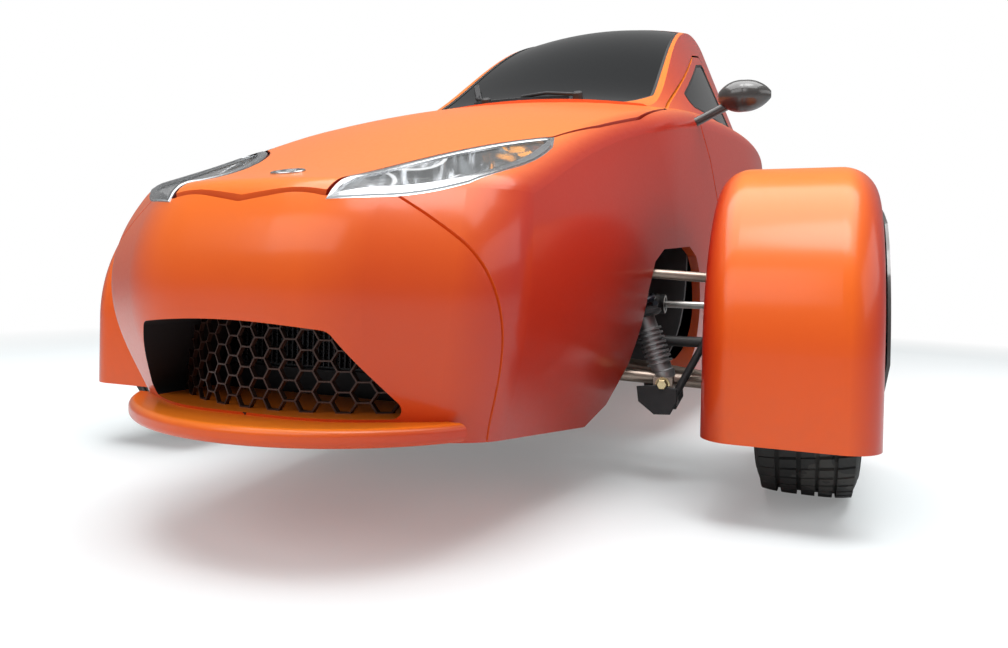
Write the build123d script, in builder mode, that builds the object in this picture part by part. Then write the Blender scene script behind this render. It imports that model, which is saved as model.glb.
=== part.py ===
"""Three wheeled car: enclosed body, two faired front wheels, one rear wheel."""

import os
from math import cos, radians, sin

from build123d import *

os.makedirs("parts", exist_ok=True)

# Main sizes in mm. The front looks along -Y, the car's left is +X, the floor is Z = 0.
overall_length = 4077
front_overhang = 852
wheelbase = 2794
front_axle_y = front_overhang - overall_length / 2
rear_axle_y = front_axle_y + wheelbase

# Body shell
wall = 20
shoulder_radius = 60
skin_groove = 5
seam_width = 4
shut_gap = 6
glass_thickness = 6
glass_recess = 3
canopy_foot = 790

# Wheels
front_tyre_radius = 283
front_tyre_width = 180
front_rim_radius = 178
front_wheel_x = 726
rear_tyre_radius = 300
rear_tyre_width = 190
rear_rim_radius = 190
spindle_radius = 17
running_fit = 0.05

# Steering
kingpin_x = 660
steer_limit = 22

# Wheel pods
pod_inner_x = 556
pod_rear_inner_x = 592
pod_outer_x = 840
pod_half_length = 338
pod_arch_z = 298
pod_bottom = 146
pod_skin = 6
pod_corner = 56
pod_crown_radius = 66
side_panel_x = 848.5
side_panel_skin = 5

# Seams of the body, from the front axle
nose_seam_top = (-745, 525)
nose_seam_lean = 0.344
door_front = 600
door_rear = 1262
tail_seam = 1330
floor_front = 190
belt_height = 884


def from_axle(y):
    """Turn a distance behind the front axle into the car's own Y."""
    return front_axle_y + y


def seam_at(z):
    """Place of the leaning nose seam at a height, behind the front axle."""
    return nose_seam_top[0] + (nose_seam_top[1] - z) * nose_seam_lean


# Hull outlines: height, then half widths and places behind the axle, nose to tail
# z, nose_y, nose_x, corner_x, corner_y, waist_x, hip_x, haunch_x, tail_x
hull_levels = (
    (138, -776, 112, 290, -664, 396, 484, 352, 152),
    (300, -814, 135, 345, -692, 434, 545, 404, 186),
    (450, -826, 140, 358, -692, 446, 573, 422, 198),
    (600, -726, 130, 326, -592, 440, 581, 430, 202),
    (760, -560, 115, 296, -436, 424, 574, 427, 199),
    (940, -400, 100, 262, -300, 396, 546, 402, 182),
)
hull_bottom = hull_levels[0][0]
floor_depth = 67
nose_low = 194
nose_low_y = -815
belly_y = -275
waist_y = 90
hip_y = 1300
haunch_y = 2350
tail_lamp_proud = 10
tail_y = overall_length - front_overhang - tail_lamp_proud

# Top of the hull at even steps: place behind the axle, height at the centre, drop at the side
# y, z, drop
crown_rows = (
    (-905, 530, 120),
    (-305, 703, 120),
    (295, 870, 108),
    (895, 926, 80),
    (1495, 934, 72),
    (2095, 916, 76),
    (2695, 872, 86),
    (3295, 800, 100),
)

# Greenhouse: place behind the axle, half width at its foot, half width and height at the roof
# y, foot_x, roof_x, roof_z, crown
canopy_rows = (
    (246, 426, 330, 842, 30),
    (700, 481, 312, 1072, 34),
    (1200, 505, 282, 1300, 36),
    (1620, 500, 276, 1345, 32),
    (2250, 415, 236, 1290, 30),
    (2800, 284, 166, 1110, 26),
    (3200, 175, 104, 880, 20),
)


def hull(inset):
    """Hull below the crown, drawn in by inset."""
    with BuildPart() as solid:
        for z, nose_y, nose_x, corner_x, corner_y, waist_x, hip_x, haunch_x, tail_x in hull_levels:
            level = z + inset * floor_depth / wall if z == hull_bottom else z
            with BuildSketch(Plane.XY.offset(level)):
                with BuildLine():
                    FilletPolyline(
                        (0, from_axle(nose_y + inset)),
                        (nose_x, from_axle(nose_y + inset)),
                        (corner_x - inset * 0.85, from_axle(corner_y + inset * 0.5)),
                        (waist_x - inset, from_axle(waist_y)),
                        (hip_x - inset, from_axle(hip_y)),
                        (haunch_x - inset, from_axle(haunch_y)),
                        (tail_x - inset, from_axle(tail_y - inset)),
                        (0, from_axle(tail_y - inset)),
                        radius=[250, 140, 1500, 3000, 2500, 60],
                    )
                    mirror(about=Plane.YZ)
                make_face()
        loft()
    return solid.part


def crown(inset):
    """Everything under the top surface of the hull, drawn in by inset."""
    half = 700
    with BuildPart() as solid:
        for y, z, drop in crown_rows:
            with BuildSketch(Plane.XZ.offset(-from_axle(y))):
                with BuildLine():
                    Polyline((half, z - inset - drop), (half, 0), (-half, 0), (-half, z - inset - drop))
                    ThreePointArc((-half, z - inset - drop), (0, z - inset), (half, z - inset - drop))
                make_face()
        loft()
    return solid.part


def canopy(inset):
    """Greenhouse from the cowl to the tail, drawn in by inset."""
    with BuildPart() as solid:
        for y, foot_x, roof_x, roof_z, rise in canopy_rows:
            along = inset if y == canopy_rows[0][0] else 0
            with BuildSketch(Plane.XZ.offset(-from_axle(y + along))):
                with BuildLine():
                    roof = (roof_x - inset * 0.8, roof_z - inset)
                    Polyline(
                        roof,
                        (foot_x - inset, canopy_foot),
                        (inset - foot_x, canopy_foot),
                        (-roof[0], roof[1]),
                    )
                    ThreePointArc((-roof[0], roof[1]), (0, roof_z + rise - inset), roof)
                make_face()
                shoulders = [v for v in vertices() if v.Z > canopy_foot + 1]
                fillet(shoulders, radius=62 - inset * 0.6)
        loft()
    return solid.part


def body_solid(inset):
    """Whole body volume, drawn in by inset."""
    with BuildPart() as solid:
        add(hull(inset))
        add(crown(inset), mode=Mode.INTERSECT)
        top_edges = ShapeList()
        for face in solid.part.faces():
            if face.normal_at().Z > 0.6 and face.center().Z > 400:
                top_edges += face.edges()
        fillet(top_edges, radius=shoulder_radius - inset)
        # The underside rises towards the nose
        with BuildSketch(Plane.YZ.offset(-700)):
            with BuildLine():
                rise = (nose_low - hull_bottom) / (belly_y - nose_low_y)
                Polyline(
                    (from_axle(belly_y), hull_bottom + inset - 60),
                    (from_axle(belly_y), hull_bottom + inset),
                    (from_axle(nose_low_y - 200), nose_low + inset + rise * 200),
                    (from_axle(nose_low_y - 200), hull_bottom + inset - 60),
                    close=True,
                )
            make_face()
        extrude(amount=1400, mode=Mode.SUBTRACT)
        add(canopy(inset))
    return solid.part


def side_prism(points, radius, x_from, x_to, grow=0.0):
    """Prism across the car from an outline of (place behind the axle, height)."""
    with BuildPart() as prism:
        with BuildSketch(Plane.YZ.offset(x_from)):
            with BuildLine():
                FilletPolyline(*[(from_axle(y), z) for y, z in points], radius=radius, close=True)
            make_face()
            if grow:
                offset(amount=grow)
        extrude(amount=x_to - x_from)
    return prism.part


def plan_prism(points, radius, z_from, z_to, grow=0.0):
    """Upright prism from an outline of (half width, place behind the axle), both sides."""
    with BuildPart() as prism:
        with BuildSketch(Plane.XY.offset(z_from)):
            with BuildLine():
                right = [(-x, y) for x, y in reversed(points) if x]
                outline = [(x, from_axle(y)) for x, y in list(points) + right]
                FilletPolyline(*outline, radius=radius, close=True)
            make_face()
            if grow:
                offset(amount=grow)
        extrude(amount=z_to - z_from)
    return prism.part


def block(x0, x1, y0, y1, z0, z1):
    """Box between two corners, with y measured behind the front axle."""
    with BuildPart() as box:
        with Locations(((x0 + x1) / 2, from_axle((y0 + y1) / 2), (z0 + z1) / 2)):
            Box(abs(x1 - x0), abs(y1 - y0), abs(z1 - z0))
    return box.part


def rod(start, end, radius):
    """Round bar between two points, with y measured behind the front axle."""
    a = Vector(start[0], from_axle(start[1]), start[2])
    b = Vector(end[0], from_axle(end[1]), end[2])
    with BuildPart() as bar:
        with BuildSketch(Plane(origin=a, z_dir=b - a)):
            Circle(radius)
        extrude(amount=(b - a).length)
    return bar.part


def both_sides(part):
    """The part and its mirror image across the middle of the car."""
    with BuildPart() as pair:
        add(part)
        mirror(about=Plane.YZ)
    return pair.part


def keep(shape, label):
    """Label a finished piece and write it to its own file."""
    shape.label = label
    export_step(shape, f"parts/{label}.step")
    return shape


# Outlines of the openings
hood_outline = ((0, -800), (138, -786), (210, -680), (262, -540), (309, -378), (350, -224), (386, -40), (402, 200))
windscreen_outline = ((0, 266), (250, 304), (318, 430), (262, 1180), (0, 1222))
door_outline = ((door_front, 236), (590, 400), (552, 523), (484, 626), (433, 726), (373, 790), (352, 846),
                (1050, 1178), (door_rear, 1232), (door_rear, 236))
door_window = ((522, 904), (1040, 1142), (1222, 1190), (1222, 928))
side_window = ((500, 904), (1040, 1142), (1420, 1240), (1570, 1190), (1690, 980), (1650, 932))
hatch_outline = ((206, 2000), (184, 2760), (112, 3100))
hatch_window = ((168, 2070), (148, 2660))
aperture = ((-360, 100), (-192, 169), (-138, 245), (-112, 328), (-96, 392), (-62, 448), (0, 476), (200, 490),
            (262, 470), (298, 436), (352, 336), (392, 240), (392, 100))


# Body volumes shared by the panels
outer_body = body_solid(0)
inner_body = body_solid(wall)
groove_body = body_solid(skin_groove)

with BuildPart() as shell:
    add(outer_body)
    add(inner_body, mode=Mode.SUBTRACT)

hood_hole = plan_prism(hood_outline, 24, 470, 1000)
windscreen_hole = plan_prism(windscreen_outline, 30, 700, 1500)
hatch_hole = plan_prism(hatch_outline, 40, 780, 1500)
hatch_glass_hole = plan_prism(hatch_window, 30, 780, 1500)
door_hole = side_prism(door_outline, 40, 60, 800)
door_glass_hole = side_prism(door_window, 24, 60, 800)
right_glass_hole = side_prism(side_window, 24, -800, -60)
aperture_hole = side_prism(aperture, 12, -800, 800)

# Rear wheel arch, open below
arch_radius = rear_tyre_radius + 45
with BuildPart() as arch_hole:
    with BuildSketch(Plane.YZ.offset(-600)):
        with Locations((rear_axle_y, rear_tyre_radius)):
            Circle(arch_radius)
        with Locations((rear_axle_y, 0)):
            Rectangle(arch_radius * 2, rear_tyre_radius * 2)
    extrude(amount=1200)

# Grille mouth and its duct
mouth_half_top = 156
mouth_half_bottom = 234
mouth_bottom = 216
mouth_side_top = 338
mouth_top = 348
duct_wall = 10
duct_depth_y = -600


def mouth_prism(grow):
    """Grille mouth pushed back along the car."""
    with BuildPart() as prism:
        with BuildSketch(Plane.XZ.offset(-from_axle(duct_depth_y))):
            with BuildLine():
                Polyline(
                    (mouth_half_top, mouth_side_top),
                    (mouth_half_bottom, mouth_bottom),
                    (-mouth_half_bottom, mouth_bottom),
                    (-mouth_half_top, mouth_side_top),
                )
                ThreePointArc((-mouth_half_top, mouth_side_top), (0, mouth_top), (mouth_half_top, mouth_side_top))
            make_face()
            fillet(vertices(), radius=16)
            if grow:
                offset(amount=grow)
        extrude(amount=320)
    return prism.part


mouth_hole = mouth_prism(0)

# Headlamps: leaf outline seen along the lamp's own axis
lamp_centre = (240, -590, 580)
lamp_look = (0.3, -0.55, 0.78)
lamp_depth = 95
lamp_plane = Plane(
    origin=(lamp_centre[0], from_axle(lamp_centre[1]), lamp_centre[2]),
    x_dir=(0.6, 0.75, 0.298),
    z_dir=lamp_look,
)
lamp_places = (
    # tip, top edge, outer corners, then the lower edge back to the tip
    (134, -788, 509),
    (185, -560, 616),
    (310, -372, 655),
    (326, -427, 628),
    (325, -533, 587),
    (290, -675, 540),
    (219, -741, 517),
)
lamp_spots = []
for x, y, z in lamp_places:
    spot = lamp_plane.to_local_coords(Vector(x, from_axle(y), z))
    lamp_spots.append((spot.X, spot.Y))


def lamp_prism(grow, back, front):
    """Left headlamp outline pushed through the skin along the lamp's axis."""
    with BuildPart() as prism:
        with BuildSketch(lamp_plane.offset(back)):
            with BuildLine():
                tip, top_middle, outer_top, outer_low, side_middle, low_corner, low_middle = lamp_spots
                ThreePointArc(tip, top_middle, outer_top)
                Line(outer_top, outer_low)
                ThreePointArc(outer_low, side_middle, low_corner)
                ThreePointArc(low_corner, low_middle, tip)
            make_face()
            if grow:
                offset(amount=grow)
        extrude(amount=front - back)
    return prism.part


lamp_hole = lamp_prism(0, -lamp_depth, 220)

# Seam grooves on the outside of the skin
with BuildPart() as grooves:
    with BuildSketch(Plane.YZ.offset(-700)):
        with BuildLine():
            half_groove = seam_width / 2
            Polyline(
                (from_axle(seam_at(60) - half_groove), 60),
                (from_axle(seam_at(60) + half_groove), 60),
                (from_axle(seam_at(620) + half_groove), 620),
                (from_axle(seam_at(620) - half_groove), 620),
                close=True,
            )
        make_face()
    extrude(amount=1400)
    add(block(-700, 0, door_front - seam_width / 2, door_front + seam_width / 2, 60, belt_height))
    add(block(-700, 700, tail_seam - seam_width / 2, tail_seam + seam_width / 2, 60, belt_height))
    add(groove_body, mode=Mode.SUBTRACT)

with BuildPart() as fixed_shell:
    add(shell.part)
    add(
        [hood_hole, windscreen_hole, hatch_hole, door_hole, right_glass_hole, aperture_hole,
         arch_hole.part, mouth_hole, both_sides(lamp_hole), grooves.part],
        mode=Mode.SUBTRACT,
    )


def panel(x0, x1, y0, y1, z0, z1):
    """The fixed skin inside a box."""
    with BuildPart() as piece:
        add(fixed_shell.part)
        add(block(x0, x1, y0, y1, z0, z1), mode=Mode.INTERSECT)
    return piece.part


# Nose panel with the grille duct and the lip below it
lip_top = 212
lip_bottom = 186
lip_edge = 10
lip_end = (300, -690)
with BuildPart() as lip:
    with BuildSketch(Plane.XY.offset(lip_bottom)):
        with BuildLine():
            left_end = (lip_end[0], from_axle(lip_end[1]))
            right_end = (-lip_end[0], from_axle(lip_end[1]))
            ThreePointArc(right_end, (0, from_axle(-front_overhang)), left_end)
            Line(left_end, right_end)
        make_face()
    extrude(amount=lip_top - lip_bottom)
    fillet(lip.edges().filter_by(GeomType.CIRCLE), radius=lip_edge)
with BuildPart() as nose_side:
    with BuildSketch(Plane.YZ.offset(-700)):
        with BuildLine():
            Polyline(
                (from_axle(-950), 60),
                (from_axle(seam_at(60)), 60),
                (from_axle(seam_at(700)), 700),
                (from_axle(-950), 700),
                close=True,
            )
        make_face()
    extrude(amount=1400)
with BuildPart() as nose_skin:
    add(fixed_shell.part)
    add(nose_side.part, mode=Mode.INTERSECT)

with BuildPart() as nose_panel:
    add(mouth_prism(duct_wall))
    add(outer_body, mode=Mode.INTERSECT)
    add(nose_skin.part)
    add(lip.part)
    add(mouth_hole, mode=Mode.SUBTRACT)
keep(nose_panel.part, "nose_panel")

# Fixed skin panels
for label, x_from, x_to in (("left_front_panel", 0, 700), ("right_front_panel", -700, 0)):
    with BuildPart() as front_panel:
        add(panel(x_from, x_to, -900, door_front, 60, belt_height))
        add(nose_side.part, mode=Mode.SUBTRACT)
    keep(front_panel.part, label)
sill_top = 230
keep(panel(-700, 700, door_front, tail_seam, 60, sill_top), "floor_tub")
keep(panel(-700, 0, door_front, tail_seam, sill_top, belt_height), "right_side_panel")
keep(panel(-700, 700, tail_seam, 3400, 60, belt_height), "tail_panel")
with BuildPart() as cabin_frame:
    add(panel(-700, 700, -100, 3400, belt_height, 1500))
    add(panel(0, 700, door_front, tail_seam, sill_top, belt_height))
keep(cabin_frame.part, "cabin_frame")

# Hood, door and hatch cut from the same skin, with a shut gap all round
with BuildPart() as hood:
    add(shell.part)
    add(plan_prism(hood_outline, 24, 470, 1000, -shut_gap), mode=Mode.INTERSECT)
    add(both_sides(lamp_prism(shut_gap, -lamp_depth, 220)), mode=Mode.SUBTRACT)
keep(hood.part, "hood_panel")

with BuildPart() as door:
    add(shell.part)
    add(side_prism(door_outline, 40, 60, 800, -shut_gap), mode=Mode.INTERSECT)
    add(door_glass_hole, mode=Mode.SUBTRACT)
keep(door.part, "door_shell")

with BuildPart() as hatch:
    add(shell.part)
    add(plan_prism(hatch_outline, 40, 780, 1500, -shut_gap), mode=Mode.INTERSECT)
    add(hatch_glass_hole, mode=Mode.SUBTRACT)
keep(hatch.part, "hatch_panel")

# Glass set a little below the skin
with BuildPart() as glass_skin:
    add(canopy(glass_recess))
    add(canopy(glass_recess + glass_thickness), mode=Mode.SUBTRACT)

for label, opening in (
    ("windscreen", windscreen_hole),
    ("right_window", right_glass_hole),
    ("door_window", door_glass_hole),
    ("hatch_window", hatch_glass_hole),
):
    with BuildPart() as pane:
        add(glass_skin.part)
        add(opening, mode=Mode.INTERSECT)
    keep(pane.part, label)

# Headlamps: bezel and lens in the skin, cup and reflectors behind
bezel_width = 8
cup_wall = 6
with BuildPart() as lamp_skin:
    add(outer_body)
    add(groove_body, mode=Mode.SUBTRACT)
    add(lamp_hole, mode=Mode.INTERSECT)
with BuildPart() as bezel:
    add(lamp_skin.part)
    add(lamp_prism(-bezel_width, -lamp_depth, 220), mode=Mode.SUBTRACT)
keep(both_sides(bezel.part), "headlamp_bezels")
with BuildPart() as lens:
    add(lamp_skin.part)
    add(lamp_prism(-bezel_width, -lamp_depth, 220), mode=Mode.INTERSECT)
keep(both_sides(lens.part), "headlamp_lenses")

# place along the lamp, place across it, radius
reflectors = ((-64, -8, 34), (20, 6, 44), (112, 14, 36))
with BuildPart() as cup:
    add(lamp_hole)
    add(groove_body, mode=Mode.INTERSECT)
    add(lamp_prism(-cup_wall, cup_wall - lamp_depth, 220), mode=Mode.SUBTRACT)
    for along, across, radius in reflectors:
        with BuildSketch(lamp_plane.offset(cup_wall - lamp_depth - 1)):
            with Locations((along, across)):
                Circle(radius)
                Circle(radius - 4, mode=Mode.SUBTRACT)
        extrude(amount=36)
keep(both_sides(cup.part), "headlamp_cups")

# Grille: a honeycomb plate curved like the nose, set back in the duct
cell_radius = 14.5
cell_rim = 2.2
grille_back = (226, -622)
grille_front_y = -752
grille_thickness = 8
with BuildPart() as grille:
    with BuildSketch(Plane.XY.offset(mouth_bottom)):
        with BuildLine():
            side_x = grille_back[0] + 30
            front_side_y = from_axle(grille_back[1])
            back_side_y = front_side_y + grille_thickness
            ThreePointArc((-side_x, front_side_y), (0, from_axle(grille_front_y)), (side_x, front_side_y))
            ThreePointArc((-side_x, back_side_y), (0, from_axle(grille_front_y) + grille_thickness), (side_x, back_side_y))
            Line((-side_x, front_side_y), (-side_x, back_side_y))
            Line((side_x, front_side_y), (side_x, back_side_y))
        make_face()
    extrude(amount=mouth_top - mouth_bottom)
    add(mouth_hole, mode=Mode.INTERSECT)
    with BuildSketch(Plane.XZ.offset(-from_axle(duct_depth_y))):
        with Locations((0, (mouth_top + mouth_bottom) / 2)):
            with HexLocations(cell_radius, 21, 7):
                RegularPolygon(cell_radius - cell_rim / 2, 6, major_radius=False)
    extrude(amount=320, mode=Mode.SUBTRACT)
keep(grille.part, "grille_mesh")

# Radiator behind the grille, with a header tank at each end
radiator_half = 222
radiator_y = -560
radiator_thickness = 36
radiator_top = 424
rail_top = 252
with BuildPart() as radiator:
    add(block(-radiator_half, radiator_half, radiator_y, radiator_y + radiator_thickness, rail_top, radiator_top))
    for side in (-1, 1):
        inner = side * (radiator_half - 20)
        outer = side * (radiator_half + 14)
        add(block(inner, outer, radiator_y - 6, radiator_y + radiator_thickness + 6, rail_top, radiator_top + 6))
keep(radiator.part, "radiator")

# Front subframe: rails, cross members, arm posts and shock towers
rail_x = 215
rail_half = 24
rail_bottom = 185 + wall
lower_arm_z = 226
upper_arm_z = 432
arm_spread = 128
upper_spread = 70
post_x = 264
post_half = 17
tower_top = (300, -44, 585)
rack_y = 116
rack_z = 356
rack_radius = 13
with BuildPart() as subframe:
    for side in (-1, 1):
        x = side * rail_x
        add(block(x - rail_half, x + rail_half, -590, 246, rail_bottom, rail_top))
        for y in (-upper_spread, upper_spread):
            px = side * post_x
            add(block(px - post_half, px + post_half, y - 17, y + 17, rail_bottom + 8, upper_arm_z + 20))
            add(rod((side * rail_x, y, rail_top - 20), (px, y, rail_top - 20), 14))
        add(rod((side * post_x, upper_spread, upper_arm_z), (side * post_x, -upper_spread, upper_arm_z), 13))
        tower = (side * (post_x - post_half), side * (tower_top[0] + 20))
        add(block(*tower, -14, -2, upper_arm_z - 20, tower_top[2] + 14))
        add(block(side * (tower_top[0] - 24), tower[1], tower_top[1] - 22, -2, tower_top[2], tower_top[2] + 14))
    for y in (-552, -170, 215):
        add(block(-rail_x, rail_x, y - 20, y + 20, rail_bottom, rail_top))
    # Rack housing on a bracket from the rear cross member
    add(block(-20, 20, rack_y, 200, rail_top - 10, rack_z))
    add(rod((-200, rack_y, rack_z), (200, rack_y, rack_z), rack_radius + 9))
    add(rod((-210, rack_y, rack_z), (210, rack_y, rack_z), rack_radius + running_fit), mode=Mode.SUBTRACT)
keep(subframe.part, "front_subframe")

# Engine and gearbox as one plain block on the cross members
engine_top = 516
with BuildPart() as engine:
    add(block(-180, 180, -440, 74, rail_top, engine_top))
    fillet(engine.part.edges().filter_by(Axis.Z), radius=20)
keep(engine.part, "engine_block")

# Control arms: one lower and one upper wishbone on each side
knuckle_top_z = 410
knuckle_low_z = 196
eye_radius = 17
eye_half = 9
pin_radius = 8
shock_foot = (455, -62, 216)
with BuildPart() as arms:
    for end_z, inner_x, inner_z, spread, radius in (
        (knuckle_low_z, rail_x + rail_half, lower_arm_z, arm_spread, 13),
        (knuckle_top_z, post_x + post_half, upper_arm_z, upper_spread, 10),
    ):
        for y in (-spread, spread):
            add(rod((inner_x, y, inner_z), (kingpin_x, 0, end_z), radius))
        with Locations((kingpin_x, front_axle_y, end_z)):
            Cylinder(eye_radius, eye_half * 2)
    # Cup between the lower tubes that carries the shock absorber's eye
    add(block(shock_foot[0] - 19, shock_foot[0] + 19, shock_foot[1] - 30, shock_foot[1] + 30, 190, shock_foot[2]))
    for end_z in (knuckle_low_z, knuckle_top_z):
        with Locations((kingpin_x, front_axle_y, end_z)):
            Cylinder(pin_radius + running_fit, 80, mode=Mode.SUBTRACT)
with BuildPart() as arms_trimmed:
    add(arms.part)
    add(subframe.part, mode=Mode.SUBTRACT)
    for end_z in (knuckle_low_z, knuckle_top_z):
        for start, size in ((end_z + eye_half, 40), (end_z - eye_half - 40, 40)):
            with Locations((kingpin_x, front_axle_y, start + size / 2)):
                Cylinder(eye_radius + 16, size, mode=Mode.SUBTRACT)
keep(both_sides(arms_trimmed.part), "control_arms")

# Coil-over: finned body below, coil above
shock_low = Vector(shock_foot[0], from_axle(shock_foot[1]), shock_foot[2] - 6)
shock_high = Vector(tower_top[0] + 14, from_axle(tower_top[1]), tower_top[2] - 6)
shock_axis = (shock_high - shock_low).normalized()
shock_length = (shock_high - shock_low).length
shock_plane = Plane(origin=shock_low, z_dir=shock_axis)
fin_count = 6
coil_turns = 7
with BuildPart() as coil_over:
    with BuildSketch(shock_plane):
        Circle(21)
    extrude(amount=shock_length * 0.5)
    with BuildSketch(shock_plane.offset(shock_length * 0.4)):
        Circle(11)
    extrude(amount=shock_length * 0.6)
    for index in range(fin_count):
        with BuildSketch(shock_plane.offset(36 + index * 12)):
            Circle(27)
        extrude(amount=6)
    for height in (shock_length * 0.34, shock_length * 0.9):
        with BuildSketch(shock_plane.offset(height)):
            Circle(38)
        extrude(amount=8)
    with BuildSketch(shock_plane):
        Circle(24)
    extrude(amount=18)
    pitch = (shock_length * 0.9 - shock_length * 0.34 - 8) / coil_turns
    for index in range(coil_turns):
        with BuildSketch(shock_plane.offset(shock_length * 0.34 + 8 + pitch * (index + 0.25))):
            Circle(37)
            Circle(25, mode=Mode.SUBTRACT)
        extrude(amount=pitch * 0.5)
    with BuildSketch(shock_plane.offset(shock_length * 0.36)):
        Circle(26)
    extrude(amount=shock_length * 0.55)
    add([subframe.part, arms_trimmed.part], mode=Mode.SUBTRACT)
keep(both_sides(coil_over.part), "coil_overs")

# Half shafts from the gearbox to the hubs
shaft_z = front_tyre_radius
with BuildPart() as shafts:
    add(rod((180, 0, shaft_z), (kingpin_x, 0, shaft_z), 11))
    add(rod((180, 0, shaft_z), (236, 0, shaft_z), 28))
    add(rod((556, 0, shaft_z), (606, 0, shaft_z), 34))
keep(both_sides(shafts.part), "half_shafts")

# Steering rack bar with tie rods, sliding across the car
tie_end = (kingpin_x, rack_y - 4)
tie_bore = 13
tie_pin = 6
with BuildPart() as rack_bar:
    add(rod((-330, rack_y, rack_z), (330, rack_y, rack_z), rack_radius))
    for side in (-1, 1):
        add(rod((side * 320, rack_y, rack_z), (side * (tie_end[0] - 18), tie_end[1], rack_z), 8))
        add(rod((side * 306, rack_y, rack_z), (side * 420, rack_y - 1, rack_z), 20))
        with Locations((side * tie_end[0], from_axle(tie_end[1]), rack_z)):
            Cylinder(tie_bore + 7, 14)
            Cylinder(tie_bore, 20, mode=Mode.SUBTRACT)
keep(rack_bar.part, "steering_rack_bar")

# Knuckle: upright, spindle, brake calliper, steering arm and the pod's stays
spindle_end = front_wheel_x + 74
disc_x = 0
disc_thickness = 9
stay_y = 205
with BuildPart() as knuckle:
    add(block(682, 704, -40, 40, 178, 428))
    for low, high in ((178, knuckle_low_z - eye_half), (knuckle_top_z + eye_half, 430)):
        add(block(kingpin_x - 12, 704, -16, 16, low, high))
    add(rod((kingpin_x, 0, 178), (kingpin_x, 0, knuckle_low_z + eye_half), pin_radius))
    add(rod((kingpin_x, 0, 430), (kingpin_x, 0, knuckle_top_z - eye_half), pin_radius))
    add(rod((700, 0, shaft_z), (spindle_end, 0, shaft_z), spindle_radius))
    add(rod((spindle_end, 0, shaft_z), (spindle_end + 12, 0, shaft_z), spindle_radius + 9))
    add(block(702, front_wheel_x + 24, -150, -96, shaft_z - 44, shaft_z + 44))
    add(block(690, 704, -150, 0, shaft_z - 24, shaft_z + 24))
    disc_slot = (front_wheel_x + disc_x - 4, front_wheel_x + disc_x + disc_thickness + 4)
    add(rod((disc_slot[0], 0, shaft_z), (disc_slot[1], 0, shaft_z), 136), mode=Mode.SUBTRACT)
    add(rod((700, 0, shaft_z), (spindle_end, 0, shaft_z), spindle_radius))
    # Steering arm with the tie rod's pin
    add(block(kingpin_x - 9, 704, rack_y - 12, rack_y + 12, rack_z - 26, rack_z - 12))
    add(block(684, 704, 20, rack_y + 12, rack_z - 26, rack_z - 12))
    add(rod((kingpin_x, rack_y, rack_z - 26), (kingpin_x, rack_y, rack_z + 12), tie_pin))


def pod_solid(inset):
    """Pod volume drawn in by inset, open-ended below when inset."""
    with BuildPart() as solid:
        with BuildSketch(Plane.XY.offset(pod_bottom - inset)):
            with BuildLine():
                Polyline(
                    (pod_inner_x + inset, from_axle(inset - pod_half_length)),
                    (pod_outer_x - inset, from_axle(inset - pod_half_length)),
                    (pod_outer_x - inset, from_axle(pod_half_length - inset)),
                    (pod_rear_inner_x + inset, from_axle(pod_half_length - inset)),
                    (pod_inner_x + inset, from_axle(-40)),
                    close=True,
                )
            make_face()
        extrude(amount=600)
        with BuildSketch(Plane.YZ.offset(pod_inner_x - 10)):
            with Locations((front_axle_y, pod_arch_z)):
                Circle(pod_half_length - inset)
            with Locations((front_axle_y, (pod_bottom - inset + pod_arch_z) / 2)):
                Rectangle((pod_half_length - inset) * 2, pod_arch_z - pod_bottom + inset)
        extrude(amount=400, mode=Mode.INTERSECT)
        rim = [edge for edge in solid.edges() if edge.center().Z > pod_bottom + 2
               and abs(edge.center().X - (pod_inner_x + inset)) > 200]
        fillet(rim, radius=pod_crown_radius - inset)
        rim = [edge for edge in solid.edges() if edge.center().Z > pod_bottom + 2
               and edge.center().X < pod_rear_inner_x + inset + 2]
        fillet(rim, radius=pod_corner - inset)
    return solid.part


# Opening in the pod's outboard face, filled by the grey side panel
panel_radius = 262
panel_gap = 1.5
panel_bottom = 150
panel_chamfer_x = 826


def wheel_face(radius, bottom, x_from, x_to):
    """Arch-shaped prism across the wheel, open to the bottom."""
    with BuildPart() as prism:
        with BuildSketch(Plane.YZ.offset(x_from)):
            with Locations((front_axle_y, pod_arch_z)):
                Circle(radius)
            with Locations((front_axle_y, (bottom + pod_arch_z) / 2)):
                Rectangle(radius * 2, pod_arch_z - bottom)
        extrude(amount=x_to - x_from)
    return prism.part


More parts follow.
